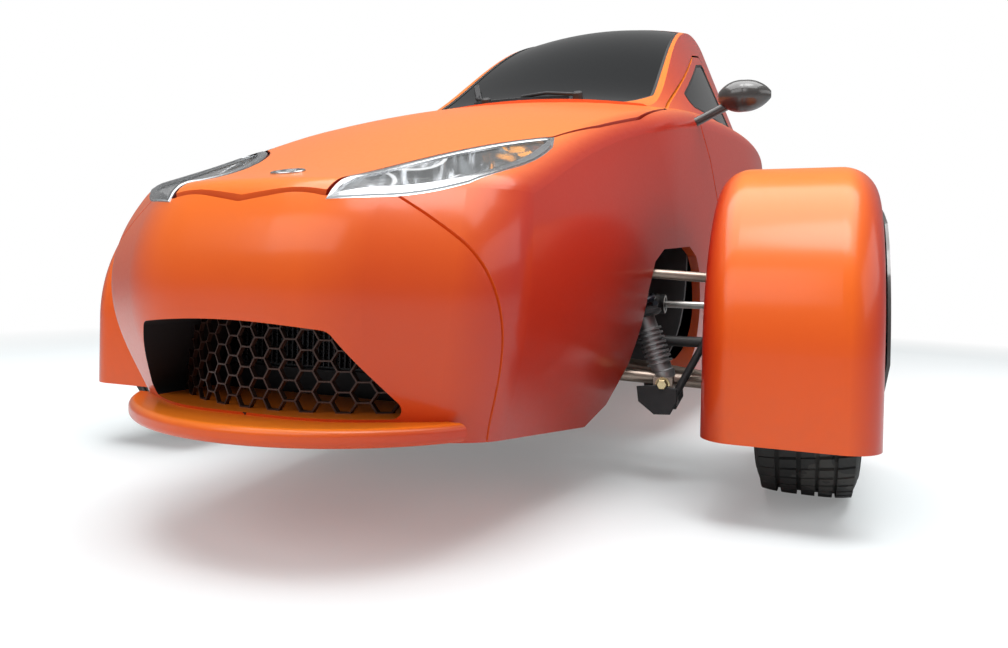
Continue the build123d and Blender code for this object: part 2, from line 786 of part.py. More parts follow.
# y from, y to, z from, z to
arm_windows = ((-165, 245, 100, 395), (-125, 125, 390, 470))
with BuildPart() as pod:
    add(pod_solid(0))
    add(pod_solid(pod_skin), mode=Mode.SUBTRACT)
    add(wheel_face(panel_radius, 100, pod_outer_x - 30, 900), mode=Mode.SUBTRACT)
    for window in arm_windows:
        add(block(500, pod_rear_inner_x + 20, *window), mode=Mode.SUBTRACT)
with BuildPart() as side_panel:
    with BuildSketch(Plane.XZ.offset(-from_axle(-panel_radius))):
        with BuildLine():
            Polyline(
                (side_panel_x - 6, pod_arch_z + panel_radius),
                (side_panel_x, pod_arch_z + panel_radius - 40),
                (side_panel_x, front_tyre_radius),
                (panel_chamfer_x, panel_bottom),
                (panel_chamfer_x - side_panel_skin, panel_bottom),
                (side_panel_x - side_panel_skin, front_tyre_radius),
                (side_panel_x - side_panel_skin, pod_arch_z + panel_radius - 40),
                (side_panel_x - side_panel_skin - 10, pod_arch_z + panel_radius),
                close=True,
            )
        make_face()
    extrude(amount=-panel_radius * 2)
    add(wheel_face(panel_radius - panel_gap, panel_bottom, 790, 900), mode=Mode.INTERSECT)
    # Inner flange that laps the pod's skin
    with BuildSketch(Plane.YZ.offset(pod_outer_x - pod_skin - 4)):
        with Locations((front_axle_y, pod_arch_z)):
            Circle(panel_radius + 8)
            Circle(panel_radius - 12, mode=Mode.SUBTRACT)
        with Locations((front_axle_y, pod_arch_z - 200)):
            Rectangle(900, 400, mode=Mode.SUBTRACT)
    extrude(amount=4)

# Stays leave the rim above the axle and reach out to the pod's inner wall
with BuildPart() as stays:
    for way in (-1, 1):
        add(rod((692, way * 24, 396), (pod_inner_x - 8, way * stay_y, 434), 8))
    add(pod_solid(pod_skin), mode=Mode.INTERSECT)
with BuildPart() as knuckle_whole:
    add(knuckle.part)
    add(stays.part)
for prefix, flip in (("left", False), ("right", True)):
    for label, piece in (("knuckle", knuckle_whole), ("wheel_pod", pod), ("pod_side_panel", side_panel)):
        with BuildPart() as placed:
            if flip:
                add(piece.part)
                mirror(about=Plane.YZ, mode=Mode.REPLACE)
            else:
                add(piece.part)
        keep(placed.part, f"{prefix}_{label}")


def tyre(radius, rim_radius, width):
    """Tyre as one ring with rounded shoulders, its axis along X."""
    bead = width * 0.4
    with BuildPart() as ring:
        with BuildSketch(Plane.XZ):
            with BuildLine():
                Polyline((-bead, rim_radius), (bead, rim_radius), (width / 2, (radius + rim_radius) / 2))
                ThreePointArc(
                    (width / 2, (radius + rim_radius) / 2),
                    (width * 0.44, radius - 14),
                    (width * 0.3, radius - 2),
                )
                ThreePointArc((width * 0.3, radius - 2), (0, radius), (-width * 0.3, radius - 2))
                ThreePointArc(
                    (-width * 0.3, radius - 2),
                    (-width * 0.44, radius - 14),
                    (-width / 2, (radius + rim_radius) / 2),
                )
                Line((-width / 2, (radius + rim_radius) / 2), (-bead, rim_radius))
            make_face()
        revolve(axis=Axis.X)
    return ring.part


def rim(rim_radius, width, spokes, disc_radius, disc_x):
    """Rim with spokes, hub and brake disc, its axis along X and its face at +X."""
    barrel = 9
    with BuildPart() as wheel:
        with BuildSketch(Plane.XZ):
            with BuildLine():
                Polyline(
                    (-width * 0.4, rim_radius),
                    (width * 0.4, rim_radius),
                    (width * 0.42, rim_radius + 6),
                    (width * 0.45, rim_radius + 4),
                    (width * 0.4, rim_radius - barrel),
                    (-width * 0.4, rim_radius - barrel),
                    (-width * 0.45, rim_radius + 4),
                    (-width * 0.42, rim_radius + 6),
                    close=True,
                )
            make_face()
        revolve(axis=Axis.X)
        with BuildSketch(Plane.YZ.offset(width * 0.22)):
            Circle(44)
            with PolarLocations(0, spokes):
                with Locations((rim_radius / 2, 0)):
                    Rectangle(rim_radius - barrel, 34)
        extrude(amount=22)
        with BuildSketch(Plane.YZ.offset(disc_x)):
            Circle(48)
        extrude(amount=width * 0.22 + 4 - disc_x)
        with BuildSketch(Plane.YZ.offset(disc_x)):
            Circle(disc_radius)
        extrude(amount=disc_thickness)
        Cylinder(spindle_radius + running_fit, 400, rotation=(0, 90, 0), mode=Mode.SUBTRACT)
    return wheel.part


# Wheels
wheels = (
    # name, wheel x, wheel y, tyre radius, rim radius, width, mirrored
    ("front_left", front_wheel_x, front_axle_y, front_tyre_radius, front_rim_radius, front_tyre_width, False),
    ("front_right", front_wheel_x, front_axle_y, front_tyre_radius, front_rim_radius, front_tyre_width, True),
    ("rear", 0, rear_axle_y, rear_tyre_radius, rear_rim_radius, rear_tyre_width, False),
)
for prefix, x, y, radius, rim_radius, width, flip in wheels:
    for label, piece in (
        ("tyre", tyre(radius, rim_radius, width)),
        ("rim", rim(rim_radius, width, 5, rim_radius - 48, disc_x)),
    ):
        with BuildPart() as placed:
            with Locations((x, y, radius)):
                add(piece)
            if flip:
                mirror(about=Plane.YZ, mode=Mode.REPLACE)
        keep(placed.part, f"{prefix}_{label}")

# Rear swing arm with its axle and one shock absorber
pivot_y = 2262
pivot_z = 330
arm_x = 124
bulkhead_y = (2200, 2216)
with BuildPart() as swing_arm:
    for side in (-1, 1):
        add(rod((side * arm_x, pivot_y, pivot_z), (side * arm_x, wheelbase, rear_tyre_radius), 16))
        add(rod((side * arm_x, wheelbase, rear_tyre_radius), (side * (arm_x - 12), wheelbase, rear_tyre_radius), 30))
        add(block(side * (arm_x + 22), side * (arm_x + 44), bulkhead_y[1], pivot_y + 26, pivot_z - 30, pivot_z + 30))
    add(rod((-arm_x - 40, pivot_y, pivot_z), (arm_x + 40, pivot_y, pivot_z), 14))
    add(rod((-arm_x - 14, wheelbase, rear_tyre_radius), (arm_x + 14, wheelbase, rear_tyre_radius), spindle_radius))
    add(block(-arm_x, arm_x, pivot_y + 60, pivot_y + 90, pivot_z - 18, pivot_z + 12))
    add(rod((0, pivot_y + 75, pivot_z), (0, bulkhead_y[1] + 40, 560), 14))
    add(rod((0, pivot_y + 70, pivot_z + 45), (0, bulkhead_y[1] + 46, 510), 30))
    add(block(-24, 24, bulkhead_y[1], bulkhead_y[1] + 50, 540, 570))
keep(swing_arm.part, "rear_swing_arm")

# Walls across the body that carry the dashboard and the swing arm
firewall_y = (250, 262)
with BuildPart() as slabs:
    add(block(-700, 700, *firewall_y, 60, belt_height - 60))
    add(block(-700, 700, *bulkhead_y, 60, 700))
with BuildPart() as bulkheads:
    add(inner_body)
    add(slabs.part, mode=Mode.INTERSECT)
keep(bulkheads.part, "bulkheads")

# Inside the cabin
dash_y = (firewall_y[1], 560)
dash_half = 350
with BuildPart() as dashboard:
    with BuildSketch(Plane.YZ.offset(-dash_half)):
        with BuildLine():
            Polyline(
                (from_axle(dash_y[0]), 560),
                (from_axle(dash_y[0]), 790),
                (from_axle(470), 800),
                (from_axle(dash_y[1]), 760),
                (from_axle(dash_y[1] - 10), 640),
                (from_axle(420), 560),
                close=True,
            )
        make_face()
        fillet(vertices().sort_by(Axis.Y)[-4:], radius=18)
    extrude(amount=dash_half * 2)
keep(dashboard.part, "dashboard")

wheel_centre = (0, 690, 760)
with BuildPart() as steering_wheel:
    wheel_plane = Plane(origin=(0, from_axle(wheel_centre[1]), wheel_centre[2]), x_dir=(1, 0, 0), z_dir=(0, 0.9, 0.42))
    with BuildSketch(Plane(origin=wheel_plane.origin, x_dir=(1, 0, 0), z_dir=wheel_plane.y_dir)):
        with Locations((165, 0)):
            Circle(13)
    revolve(axis=Axis(wheel_plane.origin, wheel_plane.z_dir))
    with BuildSketch(wheel_plane.offset(-8)):
        Circle(46)
        Rectangle(324, 30)
        with Locations((0, -80)):
            Rectangle(30, 160)
    extrude(amount=16)
    add(rod((0, wheel_centre[1], wheel_centre[2]), (0, 540, 690), 20))
    add(dashboard.part, mode=Mode.SUBTRACT)
keep(steering_wheel.part, "steering_wheel")

# Seats, one behind the other
seat_half = 215
floor_z = 185 + wall
for label, y in (("front_seat", 1000), ("rear_seat", 1640)):
    with BuildPart() as seat:
        with BuildSketch(Plane.YZ.offset(-seat_half)):
            with BuildLine():
                Polyline(
                    (from_axle(y - 230), floor_z),
                    (from_axle(y - 250), 400),
                    (from_axle(y + 190), 370),
                    (from_axle(y + 330), 930),
                    (from_axle(y + 440), 930),
                    (from_axle(y + 300), 290),
                    (from_axle(y + 230), floor_z),
                    close=True,
                )
            make_face()
            fillet(vertices().group_by(Axis.Y)[0], radius=30)
        extrude(amount=seat_half * 2)
    keep(seat.part, label)

# Tail lamps, seated on the flat of the tail
with BuildPart() as tail_lamps:
    for side in (-1, 1):
        add(rod((side * 66, tail_y, 620), (side * 66, tail_y + tail_lamp_proud, 620), 34))
keep(tail_lamps.part, "tail_lamps")

# Mirror on a short arm, on the left only
mirror_foot = (440, 340, 806)
mirror_head = (566, 318, 862)
with BuildPart() as mirror_shell:
    with BuildSketch(Plane.XZ):
        with BuildLine():
            ThreePointArc((-64, 12), (-40, 32), (-4, 38))
            ThreePointArc((-4, 38), (34, 29), (58, 8))
            Polyline((58, 8), (58, 0), (-64, 0), (-64, 12))
        make_face()
    revolve(axis=Axis.X)
with BuildPart() as mirror_piece:
    add(rod(mirror_foot, mirror_head, 11))
    with Locations((mirror_head[0], from_axle(mirror_head[1]), mirror_head[2])):
        add(mirror_shell.part)
    add(outer_body, mode=Mode.SUBTRACT)
keep(mirror_piece.part, "left_mirror")

# Wipers parked at the foot of the windscreen, shaped to its curve
wiper_width = 14
wiper_reach = 12
with BuildPart() as wiper_skin:
    add(canopy(-wiper_reach))
    add(canopy(glass_recess), mode=Mode.SUBTRACT)
with BuildPart() as wipers:
    with BuildSketch(Plane.XY.offset(700)):
        for start, end in (((120, 300), (-170, 352)), ((-130, 306), (-262, 560))):
            with BuildLine():
                Line((start[0], from_axle(start[1])), (end[0], from_axle(end[1])))
            trace(line_width=wiper_width)
    extrude(amount=600)
    add(wiper_skin.part, mode=Mode.INTERSECT)
keep(wipers.part, "wipers")
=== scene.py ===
import math

import bmesh
import bpy
from mathutils import Matrix, Vector


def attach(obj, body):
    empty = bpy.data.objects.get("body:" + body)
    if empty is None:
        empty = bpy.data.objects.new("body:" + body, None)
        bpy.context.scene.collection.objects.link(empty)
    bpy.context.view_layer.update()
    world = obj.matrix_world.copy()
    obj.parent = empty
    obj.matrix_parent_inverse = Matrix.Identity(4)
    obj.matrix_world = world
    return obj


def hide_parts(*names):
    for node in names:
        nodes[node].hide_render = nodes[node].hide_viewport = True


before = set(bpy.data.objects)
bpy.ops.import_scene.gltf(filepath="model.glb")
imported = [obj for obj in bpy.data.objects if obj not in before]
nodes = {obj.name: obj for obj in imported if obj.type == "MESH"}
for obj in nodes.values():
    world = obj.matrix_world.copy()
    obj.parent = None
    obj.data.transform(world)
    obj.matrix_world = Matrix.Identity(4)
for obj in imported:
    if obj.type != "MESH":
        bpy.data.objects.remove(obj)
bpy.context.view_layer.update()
frontAxleY = -1.1865
print("frame loaded,", len(nodes), "nodes")


def fromAxle(x, y, z):
    # Millimetres behind the front axle to metres in the car's frame
    return Vector((x / 1000, frontAxleY + y / 1000, z / 1000))


# Shader tools

class Wire:
    # A socket that takes part in plain Python sums
    def __init__(self, tree, socket):
        self.tree = tree
        self.socket = socket

    def maths(self, operation, other=None, swapped=False):
        made = self.tree.nodes.new("ShaderNodeMath")
        made.operation = operation
        pair = (other, self) if swapped else (self, other)
        for place, item in enumerate(pair):
            if isinstance(item, Wire):
                self.tree.links.new(item.socket, made.inputs[place])
            elif item is not None:
                made.inputs[place].default_value = item
        return Wire(self.tree, made.outputs[0])

    def __add__(self, other):
        return self.maths("ADD", other)

    def __sub__(self, other):
        return self.maths("SUBTRACT", other)

    def __rsub__(self, other):
        return self.maths("SUBTRACT", other, True)

    def __mul__(self, other):
        return self.maths("MULTIPLY", other)

    def __gt__(self, other):
        return self.maths("GREATER_THAN", other)

    def __lt__(self, other):
        return self.maths("LESS_THAN", other)


class Finish:
    # One material and its node tree
    def __init__(self, name):
        self.material = bpy.data.materials.new(name)
        self.material.use_nodes = True
        self.tree = self.material.node_tree
        self.tree.nodes.clear()

    def node(self, kind, settings=None, sockets=None, out=0):
        made = self.tree.nodes.new(kind)
        for key, value in (settings or {}).items():
            setattr(made, key, value)
        for key, value in (sockets or {}).items():
            if isinstance(value, Wire):
                self.tree.links.new(value.socket, made.inputs[key])
            else:
                made.inputs[key].default_value = value
        return Wire(self.tree, made.outputs[out]) if len(made.outputs) else None

    def place(self):
        return self.node("ShaderNodeTexCoord", out="Object")

    def split(self, vector, axis):
        return self.node("ShaderNodeSeparateXYZ", sockets={0: vector}, out="XYZ".index(axis))

    def vector(self, operation, *values, out=0):
        return self.node("ShaderNodeVectorMath", {"operation": operation}, dict(enumerate(values)), out=out)

    def clamp(self, value):
        return self.node("ShaderNodeClamp", sockets={0: value})

    def ramp(self, value, *ends):
        # A value between the first two ends, mapped to the last two
        return self.node("ShaderNodeMapRange", sockets={0: value, **dict(enumerate(ends, 1))})

    def noise(self, scale, detail=3.0, roughness=0.5, place=None):
        return self.node(
            "ShaderNodeTexNoise",
            sockets={"Vector": place or self.place(), "Scale": scale, "Detail": detail, "Roughness": roughness},
        )

    def mix(self, factor, first, second):
        return self.node(
            "ShaderNodeMix",
            {"data_type": "RGBA"},
            {0: factor, 6: self.colour(first), 7: self.colour(second)},
            out=2,
        )

    def colour(self, value):
        return value if isinstance(value, Wire) else (*value, 1)

    def blend(self, value, low, high):
        # A value from 0 to 1 turned into low to high
        return value * (high - low) + low

    def bump(self, height, strength, distance=0.001):
        return self.node("ShaderNodeBump", sockets={"Height": height, "Strength": strength, "Distance": distance})

    def surface(self, **values):
        names = {
            "colour": "Base Color", "roughness": "Roughness", "metallic": "Metallic", "coat": "Coat Weight",
            "coatRoughness": "Coat Roughness", "normal": "Normal", "ior": "IOR", "alpha": "Alpha",
            "transmission": "Transmission Weight", "sheen": "Sheen Weight", "sheenRoughness": "Sheen Roughness",
            "specular": "Specular IOR Level",
        }
        sockets = {
            names[key]: self.colour(value) if isinstance(value, tuple) else value for key, value in values.items()
        }
        shader = self.node("ShaderNodeBsdfPrincipled", sockets=sockets)
        self.node("ShaderNodeOutputMaterial", sockets={"Surface": shader})
        return self.material


def faded(colour, share):
    return tuple(channel * share for channel in colour)


# Paint

# Paint colours: "up" is a painted highlight for up-facing surfaces, "side" is painted shade for the flanks, "face" lies
# between them, and the near black for inward faces is painted shade
paintLook = {
    "face": (0.72, 0.075, 0.006), "up": (0.84, 0.190, 0.010), "side": (0.42, 0.014, 0.007),
    "inside": (0.018, 0.018, 0.02), "glint": (0.95, 0.28, 0.03), "dust": (0.20, 0.10, 0.06), "dustFrom": 0.16,
    "dustHeight": 0.30, "roughness": 0.34, "coat": 0.45, "coatRoughness": 0.16, "facesIn": -0.32,
}


def paint(name, centre=None, acrossOnly=True):
    # Glossy orange lacquer with a painted highlight on up-facing surfaces and painted shade on the flanks, plus
    # near-black painted shade on faces turned in towards a centre where one is given
    look = paintLook
    made = Finish(name)
    normal = made.node("ShaderNodeNewGeometry", out="Normal")
    tilt = made.split(normal, "Z")
    flank = made.split(normal, "X").maths("ABSOLUTE")
    flake = made.noise(900, 2)
    drift = made.noise(3.2, 3)
    # Painted highlight: up-facing surfaces are painted lighter and yellower than front faces
    paintedTopLight = made.mix(made.clamp(tilt * 0.9 + drift * 0.12), look["face"], look["up"])
    # Painted shade: surfaces facing sideways are painted a darker red
    deep = made.mix(made.clamp(flank * 1.35 - 0.25), paintedTopLight, look["side"])
    glint = made.mix(flake * 0.06, deep, look["glint"])
    low = made.ramp(made.split(made.place(), "Z"), look["dustFrom"], look["dustHeight"], 0.16, 0.0)
    colour = made.mix(low * made.noise(38, 5), glint, look["dust"])
    roughness = made.blend(made.noise(160, 2), look["roughness"] - 0.03, look["roughness"] + 0.05)
    coat = look["coat"]
    if centre:
        arm = made.vector("SUBTRACT", made.place(), centre)
        if acrossOnly:
            arm = made.vector("MULTIPLY", arm, (1, 0, 1))
        facing = made.vector("DOT_PRODUCT", made.vector("NORMALIZE", arm), normal, out=1)
        # Painted shade: faces turned in towards the centre are painted near black and lose their coat
        inside = facing < look["facesIn"]
        colour = made.mix(inside, colour, look["inside"])
        roughness = made.blend(inside, 0.0, 0.3) + roughness
        coat = (1 - inside) * look["coat"]
    ripple = made.bump(made.noise(14, 1), 0.03, 0.002)
    return made.surface(
        colour=colour, roughness=roughness, coat=coat, coatRoughness=look["coatRoughness"], normal=ripple, ior=1.4,
        specular=0.3,
    )


def greyLacquer():
    # Dark warm grey of the pods' outboard panels and the mirror
    made = Finish("greyLacquer")
    colour = made.mix(made.noise(7, 4), (0.030, 0.028, 0.027), (0.046, 0.043, 0.041))
    dust = made.ramp(made.split(made.place(), "Z"), 0.14, 0.32, 0.35, 0.0)
    colour = made.mix(dust * made.noise(60, 5), colour, (0.12, 0.10, 0.085))
    roughness = made.blend(made.noise(120, 3), 0.26, 0.4)
    return made.surface(colour=colour, roughness=roughness, coat=0.8, coatRoughness=0.08)


def mouldedBlack(name, low, high, grain=420.0, strength=0.25):
    # Textured black plastic
    made = Finish(name)
    colour = made.mix(made.noise(26, 5), low, high)
    relief = made.node(
        "ShaderNodeTexVoronoi", {"feature": "F1"}, {"Vector": made.place(), "Scale": grain, "Randomness": 1.0},
    )
    return made.surface(
        colour=colour,
        roughness=made.blend(made.noise(70, 4), 0.48, 0.68),
        normal=made.bump(relief, strength, 0.0004),
    )


def tyreRubber():
    made = Finish("tyreRubber")
    colour = made.mix(made.noise(34, 6, 0.62), (0.012, 0.012, 0.012), (0.034, 0.032, 0.030))
    dust = made.mix(made.noise(9, 4) > 0.62, colour, (0.05, 0.046, 0.042))
    return made.surface(
        colour=dust,
        roughness=made.blend(made.noise(90, 4), 0.62, 0.86),
        normal=made.bump(made.noise(700, 3), 0.35, 0.0005),
    )


def wornMetal(name, low, high, metallic, roughness, scale=55.0, grain=0.15):
    # Machined or painted metal with handling marks
    made = Finish(name)
    cloud = made.noise(scale, 5, 0.6)
    colour = made.mix(cloud, low, high)
    streak = made.noise(scale * 7, 3)
    return made.surface(
        colour=colour,
        metallic=metallic,
        roughness=made.blend(cloud, roughness - 0.07, roughness + 0.1),
        normal=made.bump(streak, grain, 0.0005),
    )


def brightMetal(name, colour, roughness):
    # Polished or satin bright work with faint wiping marks
    made = Finish(name)
    shade = made.mix(made.noise(30, 4), colour, faded(colour, 0.86))
    sheen = made.blend(made.noise(240, 3), roughness, roughness + 0.08)
    return made.surface(colour=shade, metallic=1.0, roughness=sheen)


def pane(name, tint, cover, roughness=0.02):
    # Thin glazing that lets light through by its alpha
    made = Finish(name)
    smear = made.noise(11, 5, 0.6)
    return made.surface(
        colour=made.mix(smear, tint, faded(tint, 0.8)),
        roughness=made.blend(smear, roughness, roughness + 0.03),
        alpha=made.blend(smear, cover, cover + 0.03),
        specular=0.35,
    )


def glass(name, tint, roughness=0.0):
    made = Finish(name)
    smear = made.noise(11, 5, 0.6)
    haze = made.blend(smear, roughness, roughness + 0.015)
    return made.surface(colour=made.mix(smear, tint, faded(tint, 0.93)), roughness=haze, transmission=1.0, ior=1.45)


def clothFinish(name, low, high, weave=620.0):
    # Woven seat cloth
    made = Finish(name)
    spot = made.place()
    warp, weft = (
        made.node(
            "ShaderNodeTexWave", {"bands_direction": axis}, {"Vector": spot, "Scale": weave / 3, "Distortion": 0.4},
        )
        for axis in "XZ"
    )
    thread = warp * weft
    colour = made.mix(thread, low, high)
    shade = made.mix(made.noise(5, 4), colour, faded(high, 0.7))
    return made.surface(
        colour=shade,
        roughness=made.blend(made.noise(24, 4), 0.78, 0.94),
        sheen=0.35,
        sheenRoughness=0.4,
        normal=made.bump(thread, 0.35, 0.0008),
    )


finishes = {
    "paint": paint("orangePaint"),
    "paintCabin": paint("orangePaintCabin", (0, 0, 0.62)),
    "paintNose": paint("orangePaintNose", (0, 0, 0.20)),
    "paintLid": paint("orangePaintLid", (0, 0, 0.0)),
    "paintLeftPod": paint("orangePaintLeftPod", (0.70, frontAxleY, 0.30), False),
    "paintRightPod": paint("orangePaintRightPod", (-0.70, frontAxleY, 0.30), False),
    "grey": greyLacquer(),
    "trim": mouldedBlack("blackTrim", (0.012, 0.012, 0.013), (0.024, 0.024, 0.026)),
    "lining": mouldedBlack("cabinLining", (0.030, 0.030, 0.032), (0.052, 0.051, 0.052), 300.0, 0.35),
    "rubber": tyreRubber(),
    "boot": mouldedBlack("bootRubber", (0.010, 0.010, 0.010), (0.020, 0.020, 0.021), 900.0, 0.12),
    "alloy": wornMetal("rimAlloy", (0.42, 0.43, 0.45), (0.60, 0.61, 0.62), 0.95, 0.3),
    "castAlloy": wornMetal("castAlloy", (0.30, 0.31, 0.32), (0.47, 0.47, 0.47), 0.85, 0.44, 40.0, 0.4),
    "tube": wornMetal("tubeSteel", (0.24, 0.185, 0.15), (0.42, 0.345, 0.29), 0.8, 0.34, 48.0),
    "iron": wornMetal("forgedIron", (0.035, 0.035, 0.037), (0.075, 0.072, 0.070), 0.6, 0.48, 30.0, 0.5),
    "rail": wornMetal("railPaint", (0.014, 0.014, 0.016), (0.034, 0.034, 0.038), 0.25, 0.42, 22.0, 0.2),
    "brass": wornMetal("boltBrass", (0.62, 0.48, 0.25), (0.80, 0.68, 0.42), 1.0, 0.28, 90.0),
    "bolt": wornMetal("boltZinc", (0.45, 0.44, 0.42), (0.66, 0.65, 0.62), 1.0, 0.33, 90.0),
    "spring": wornMetal("springPaint", (0.012, 0.013, 0.020), (0.030, 0.032, 0.046), 0.3, 0.3, 60.0),
    "meshRim": wornMetal("meshRim", (0.035, 0.018, 0.015), (0.10, 0.05, 0.038), 0.4, 0.36, 26.0),
    "core": wornMetal("radiatorCore", (0.045, 0.046, 0.050), (0.10, 0.10, 0.105), 0.8, 0.42, 80.0),
    "chrome": brightMetal("lampChrome", (0.88, 0.89, 0.90), 0.05),
    "bezel": brightMetal("lampBezel", (0.52, 0.535, 0.55), 0.22),
    "mirrorGlass": brightMetal("mirrorSilver", (0.85, 0.87, 0.88), 0.02),
    "clear": pane("clearLens", (0.75, 0.77, 0.78), 0.09),
    "window": pane("windowGlass", (0.003, 0.004, 0.005), 0.91, 0.10),
    "amber": glass("amberLens", (0.98, 0.36, 0.02), 0.08),
    "red": glass("redLens", (0.70, 0.01, 0.01), 0.1),
    "seatCloth": clothFinish("seatCloth", (0.040, 0.040, 0.044), (0.085, 0.085, 0.090)),
}
print("finishes made,", len(finishes))

nodeFinishes = {
    "paintNose": "nose_panel",
    "paintCabin": "left_front_panel right_front_panel right_side_panel tail_panel cabin_frame door_shell floor_tub",
    "paintLid": "hood_panel hatch_panel",
    "paintLeftPod": "left_wheel_pod",
    "paintRightPod": "right_wheel_pod",
    "grey": "left_pod_side_panel right_pod_side_panel left_mirror",
    "window": "windscreen right_window door_window hatch_window",
    "bezel": "headlamp_bezels",
    "clear": "headlamp_lenses",
    "chrome": "headlamp_cups",
    "meshRim": "grille_mesh",
    "core": "radiator",
    "rail": "front_subframe rear_swing_arm",
    "castAlloy": "engine_block coil_overs",
    "tube": "control_arms",
    "iron": "half_shafts left_knuckle right_knuckle",
    "bolt": "steering_rack_bar",
    "alloy": "front_left_rim front_right_rim rear_rim",
    "rubber": "front_left_tyre front_right_tyre rear_tyre",
    "lining": "bulkheads dashboard",
    "trim": "steering_wheel wipers",
    "seatCloth": "front_seat rear_seat",
    "red": "tail_lamps",
}
for finish, names in nodeFinishes.items():
    for name in names.split():
        nodes[name].data.materials.clear()
        nodes[name].data.materials.append(finishes[finish])
print("cad nodes dressed")


# Mesh tools

def makePiece(name, verts, faces, finish, body, smooth=35.0, merge=True):
    mesh = bpy.data.meshes.new(name)
    mesh.from_pydata([tuple(v) for v in verts], [], faces)
    return finishMesh(name, mesh, finish, body, smooth, merge)


def finishMesh(name, mesh, finish, body, smooth=35.0, merge=True):
    work = bmesh.new()
    work.from_mesh(mesh)
    if merge:
        bmesh.ops.remove_doubles(work, verts=work.verts, dist=0.00001)
    bmesh.ops.recalc_face_normals(work, faces=work.faces)
    work.to_mesh(mesh)
    work.free()
    for face in mesh.polygons:
        face.use_smooth = smooth > 0
    if smooth > 0:
        mesh.set_sharp_from_angle(angle=math.radians(smooth))
    mesh.materials.clear()
    mesh.materials.append(finishes[finish])
    piece = bpy.data.objects.new(name, mesh)
    bpy.context.scene.collection.objects.link(piece)
    if body:
        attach(piece, body)
    return piece


def turnTo(axis, across=None):
    # Rotation that puts local Z on axis, and local X near across
    z = Vector(axis).normalized()
    x = Vector(across) if across else (Vector((1, 0, 0)) if abs(z.x) < 0.9 else Vector((0, 1, 0)))
    x = (x - z * x.dot(z)).normalized()
    y = z.cross(x)
    return Matrix((x, y, z)).transposed()


def circle(steps):
    # Cosines and sines of evenly spread angles
    return [(math.cos(2 * math.pi * step / steps), math.sin(2 * math.pi * step / steps)) for step in range(steps)]


def band(rings, around, flip=False, closed=False):
    # Faces between neighbouring rings of points
    faces = []
    for ring in range(rings if closed else rings - 1):
        for step in range(around):
            beside = (step + 1) % around
            here = ring * around
            ahead = (ring + 1) % rings * around
            face = (here + step, here + beside, ahead + beside, ahead + step)
            faces.append((face[0], face[3], face[2], face[1]) if flip else face)
    return faces


def capped(rings, around):
    # Faces of a closed prism, an outline repeated ring by ring
    ends = [tuple(range(around)), tuple(reversed(range((rings - 1) * around, rings * around)))]
    return ends + band(rings, around, True)


boxFaces = [(0, 1, 3, 2), (4, 6, 7, 5), (0, 4, 5, 1), (2, 3, 7, 6), (0, 2, 6, 4), (1, 5, 7, 3)]


def lathe(profile, origin, axis, steps=32):
    # Closed ring surface from (along, radius) pairs in metres
    turn = turnTo(axis)
    verts = [
        Vector(origin) + turn @ Vector((radius * cos, radius * sin, along))
        for along, radius in profile for cos, sin in circle(steps)
    ]
    return verts, band(len(profile), steps)


def joined(parts):
    # Several (verts, faces) lists as one
    verts = []
    faces = []
    for someVerts, someFaces in parts:
        start = len(verts)
        verts += someVerts
        faces += [tuple(start + index for index in face) for face in someFaces]
    return verts, faces


def bothSides(part):
    verts, faces = part
    other = [Vector((-v.x, v.y, v.z)) for v in verts], [tuple(reversed(face)) for face in faces]
    return joined([part, other])


def tube(points, radius, steps=12):
    # Round tube along a list of points
    verts = []
    last = len(points) - 1
    for index, point in enumerate(points):
        turn = turnTo(points[min(index + 1, last)] - points[max(index - 1, 0)], (0.13, 0.21, 0.97))
        verts += [point + turn @ Vector((radius * cos, radius * sin, 0)) for cos, sin in circle(steps)]
    ends = [tuple(reversed(range(steps))), tuple(range(last * steps, len(verts)))]
    return verts, band(last + 1, steps) + ends


def onSurface(name, start, towards):
    # Where a line meets a CAD node, and the outward direction there
    node = nodes[name]
    start = Vector(start)
    way = (Vector(towards) - start).normalized()
    hit, spot, normal, _ = node.ray_cast(start, way)
    if not hit:
        raise RuntimeError(name + " is missed by a seating line")
    return spot, -normal if normal.dot(way) > 0 else normal


# Geometry node trees for what repeats

def addNode(tree, kind, settings=None, sockets=None):
    made = tree.nodes.new(kind)
    for key, value in (settings or {}).items():
        setattr(made, key, value)
    for key, value in (sockets or {}).items():
        if isinstance(value, bpy.types.NodeSocket):
            tree.links.new(value, made.inputs[key])
        else:
            made.inputs[key].default_value = value
    return made


def newTree(name, inputs):
    tree = bpy.data.node_groups.new(name, "GeometryNodeTree")
    for label, kind in {"base": "Geometry", "unit": "Object", "finish": "Material", **inputs}.items():
        tree.interface.new_socket(label, in_out="INPUT", socket_type="NodeSocket" + kind)
    tree.interface.new_socket("result", in_out="OUTPUT", socket_type="NodeSocketGeometry")
    return tree, tree.nodes.new("NodeGroupInput").outputs


def closeTree(tree, given, **sockets):
    # The unit on each point, made real and given its finish
    unit = addNode(tree, "GeometryNodeObjectInfo", sockets={0: given["unit"]})
    placed = addNode(
        tree, "GeometryNodeInstanceOnPoints", sockets={"Instance": unit.outputs["Geometry"], **sockets},
    )
    real = addNode(tree, "GeometryNodeRealizeInstances", sockets={0: placed.outputs[0]})
    dressed = addNode(tree, "GeometryNodeSetMaterial", sockets={0: real.outputs[0], "Material": given["finish"]})
    tree.links.new(dressed.outputs[0], tree.nodes.new("NodeGroupOutput").inputs[0])
    return tree


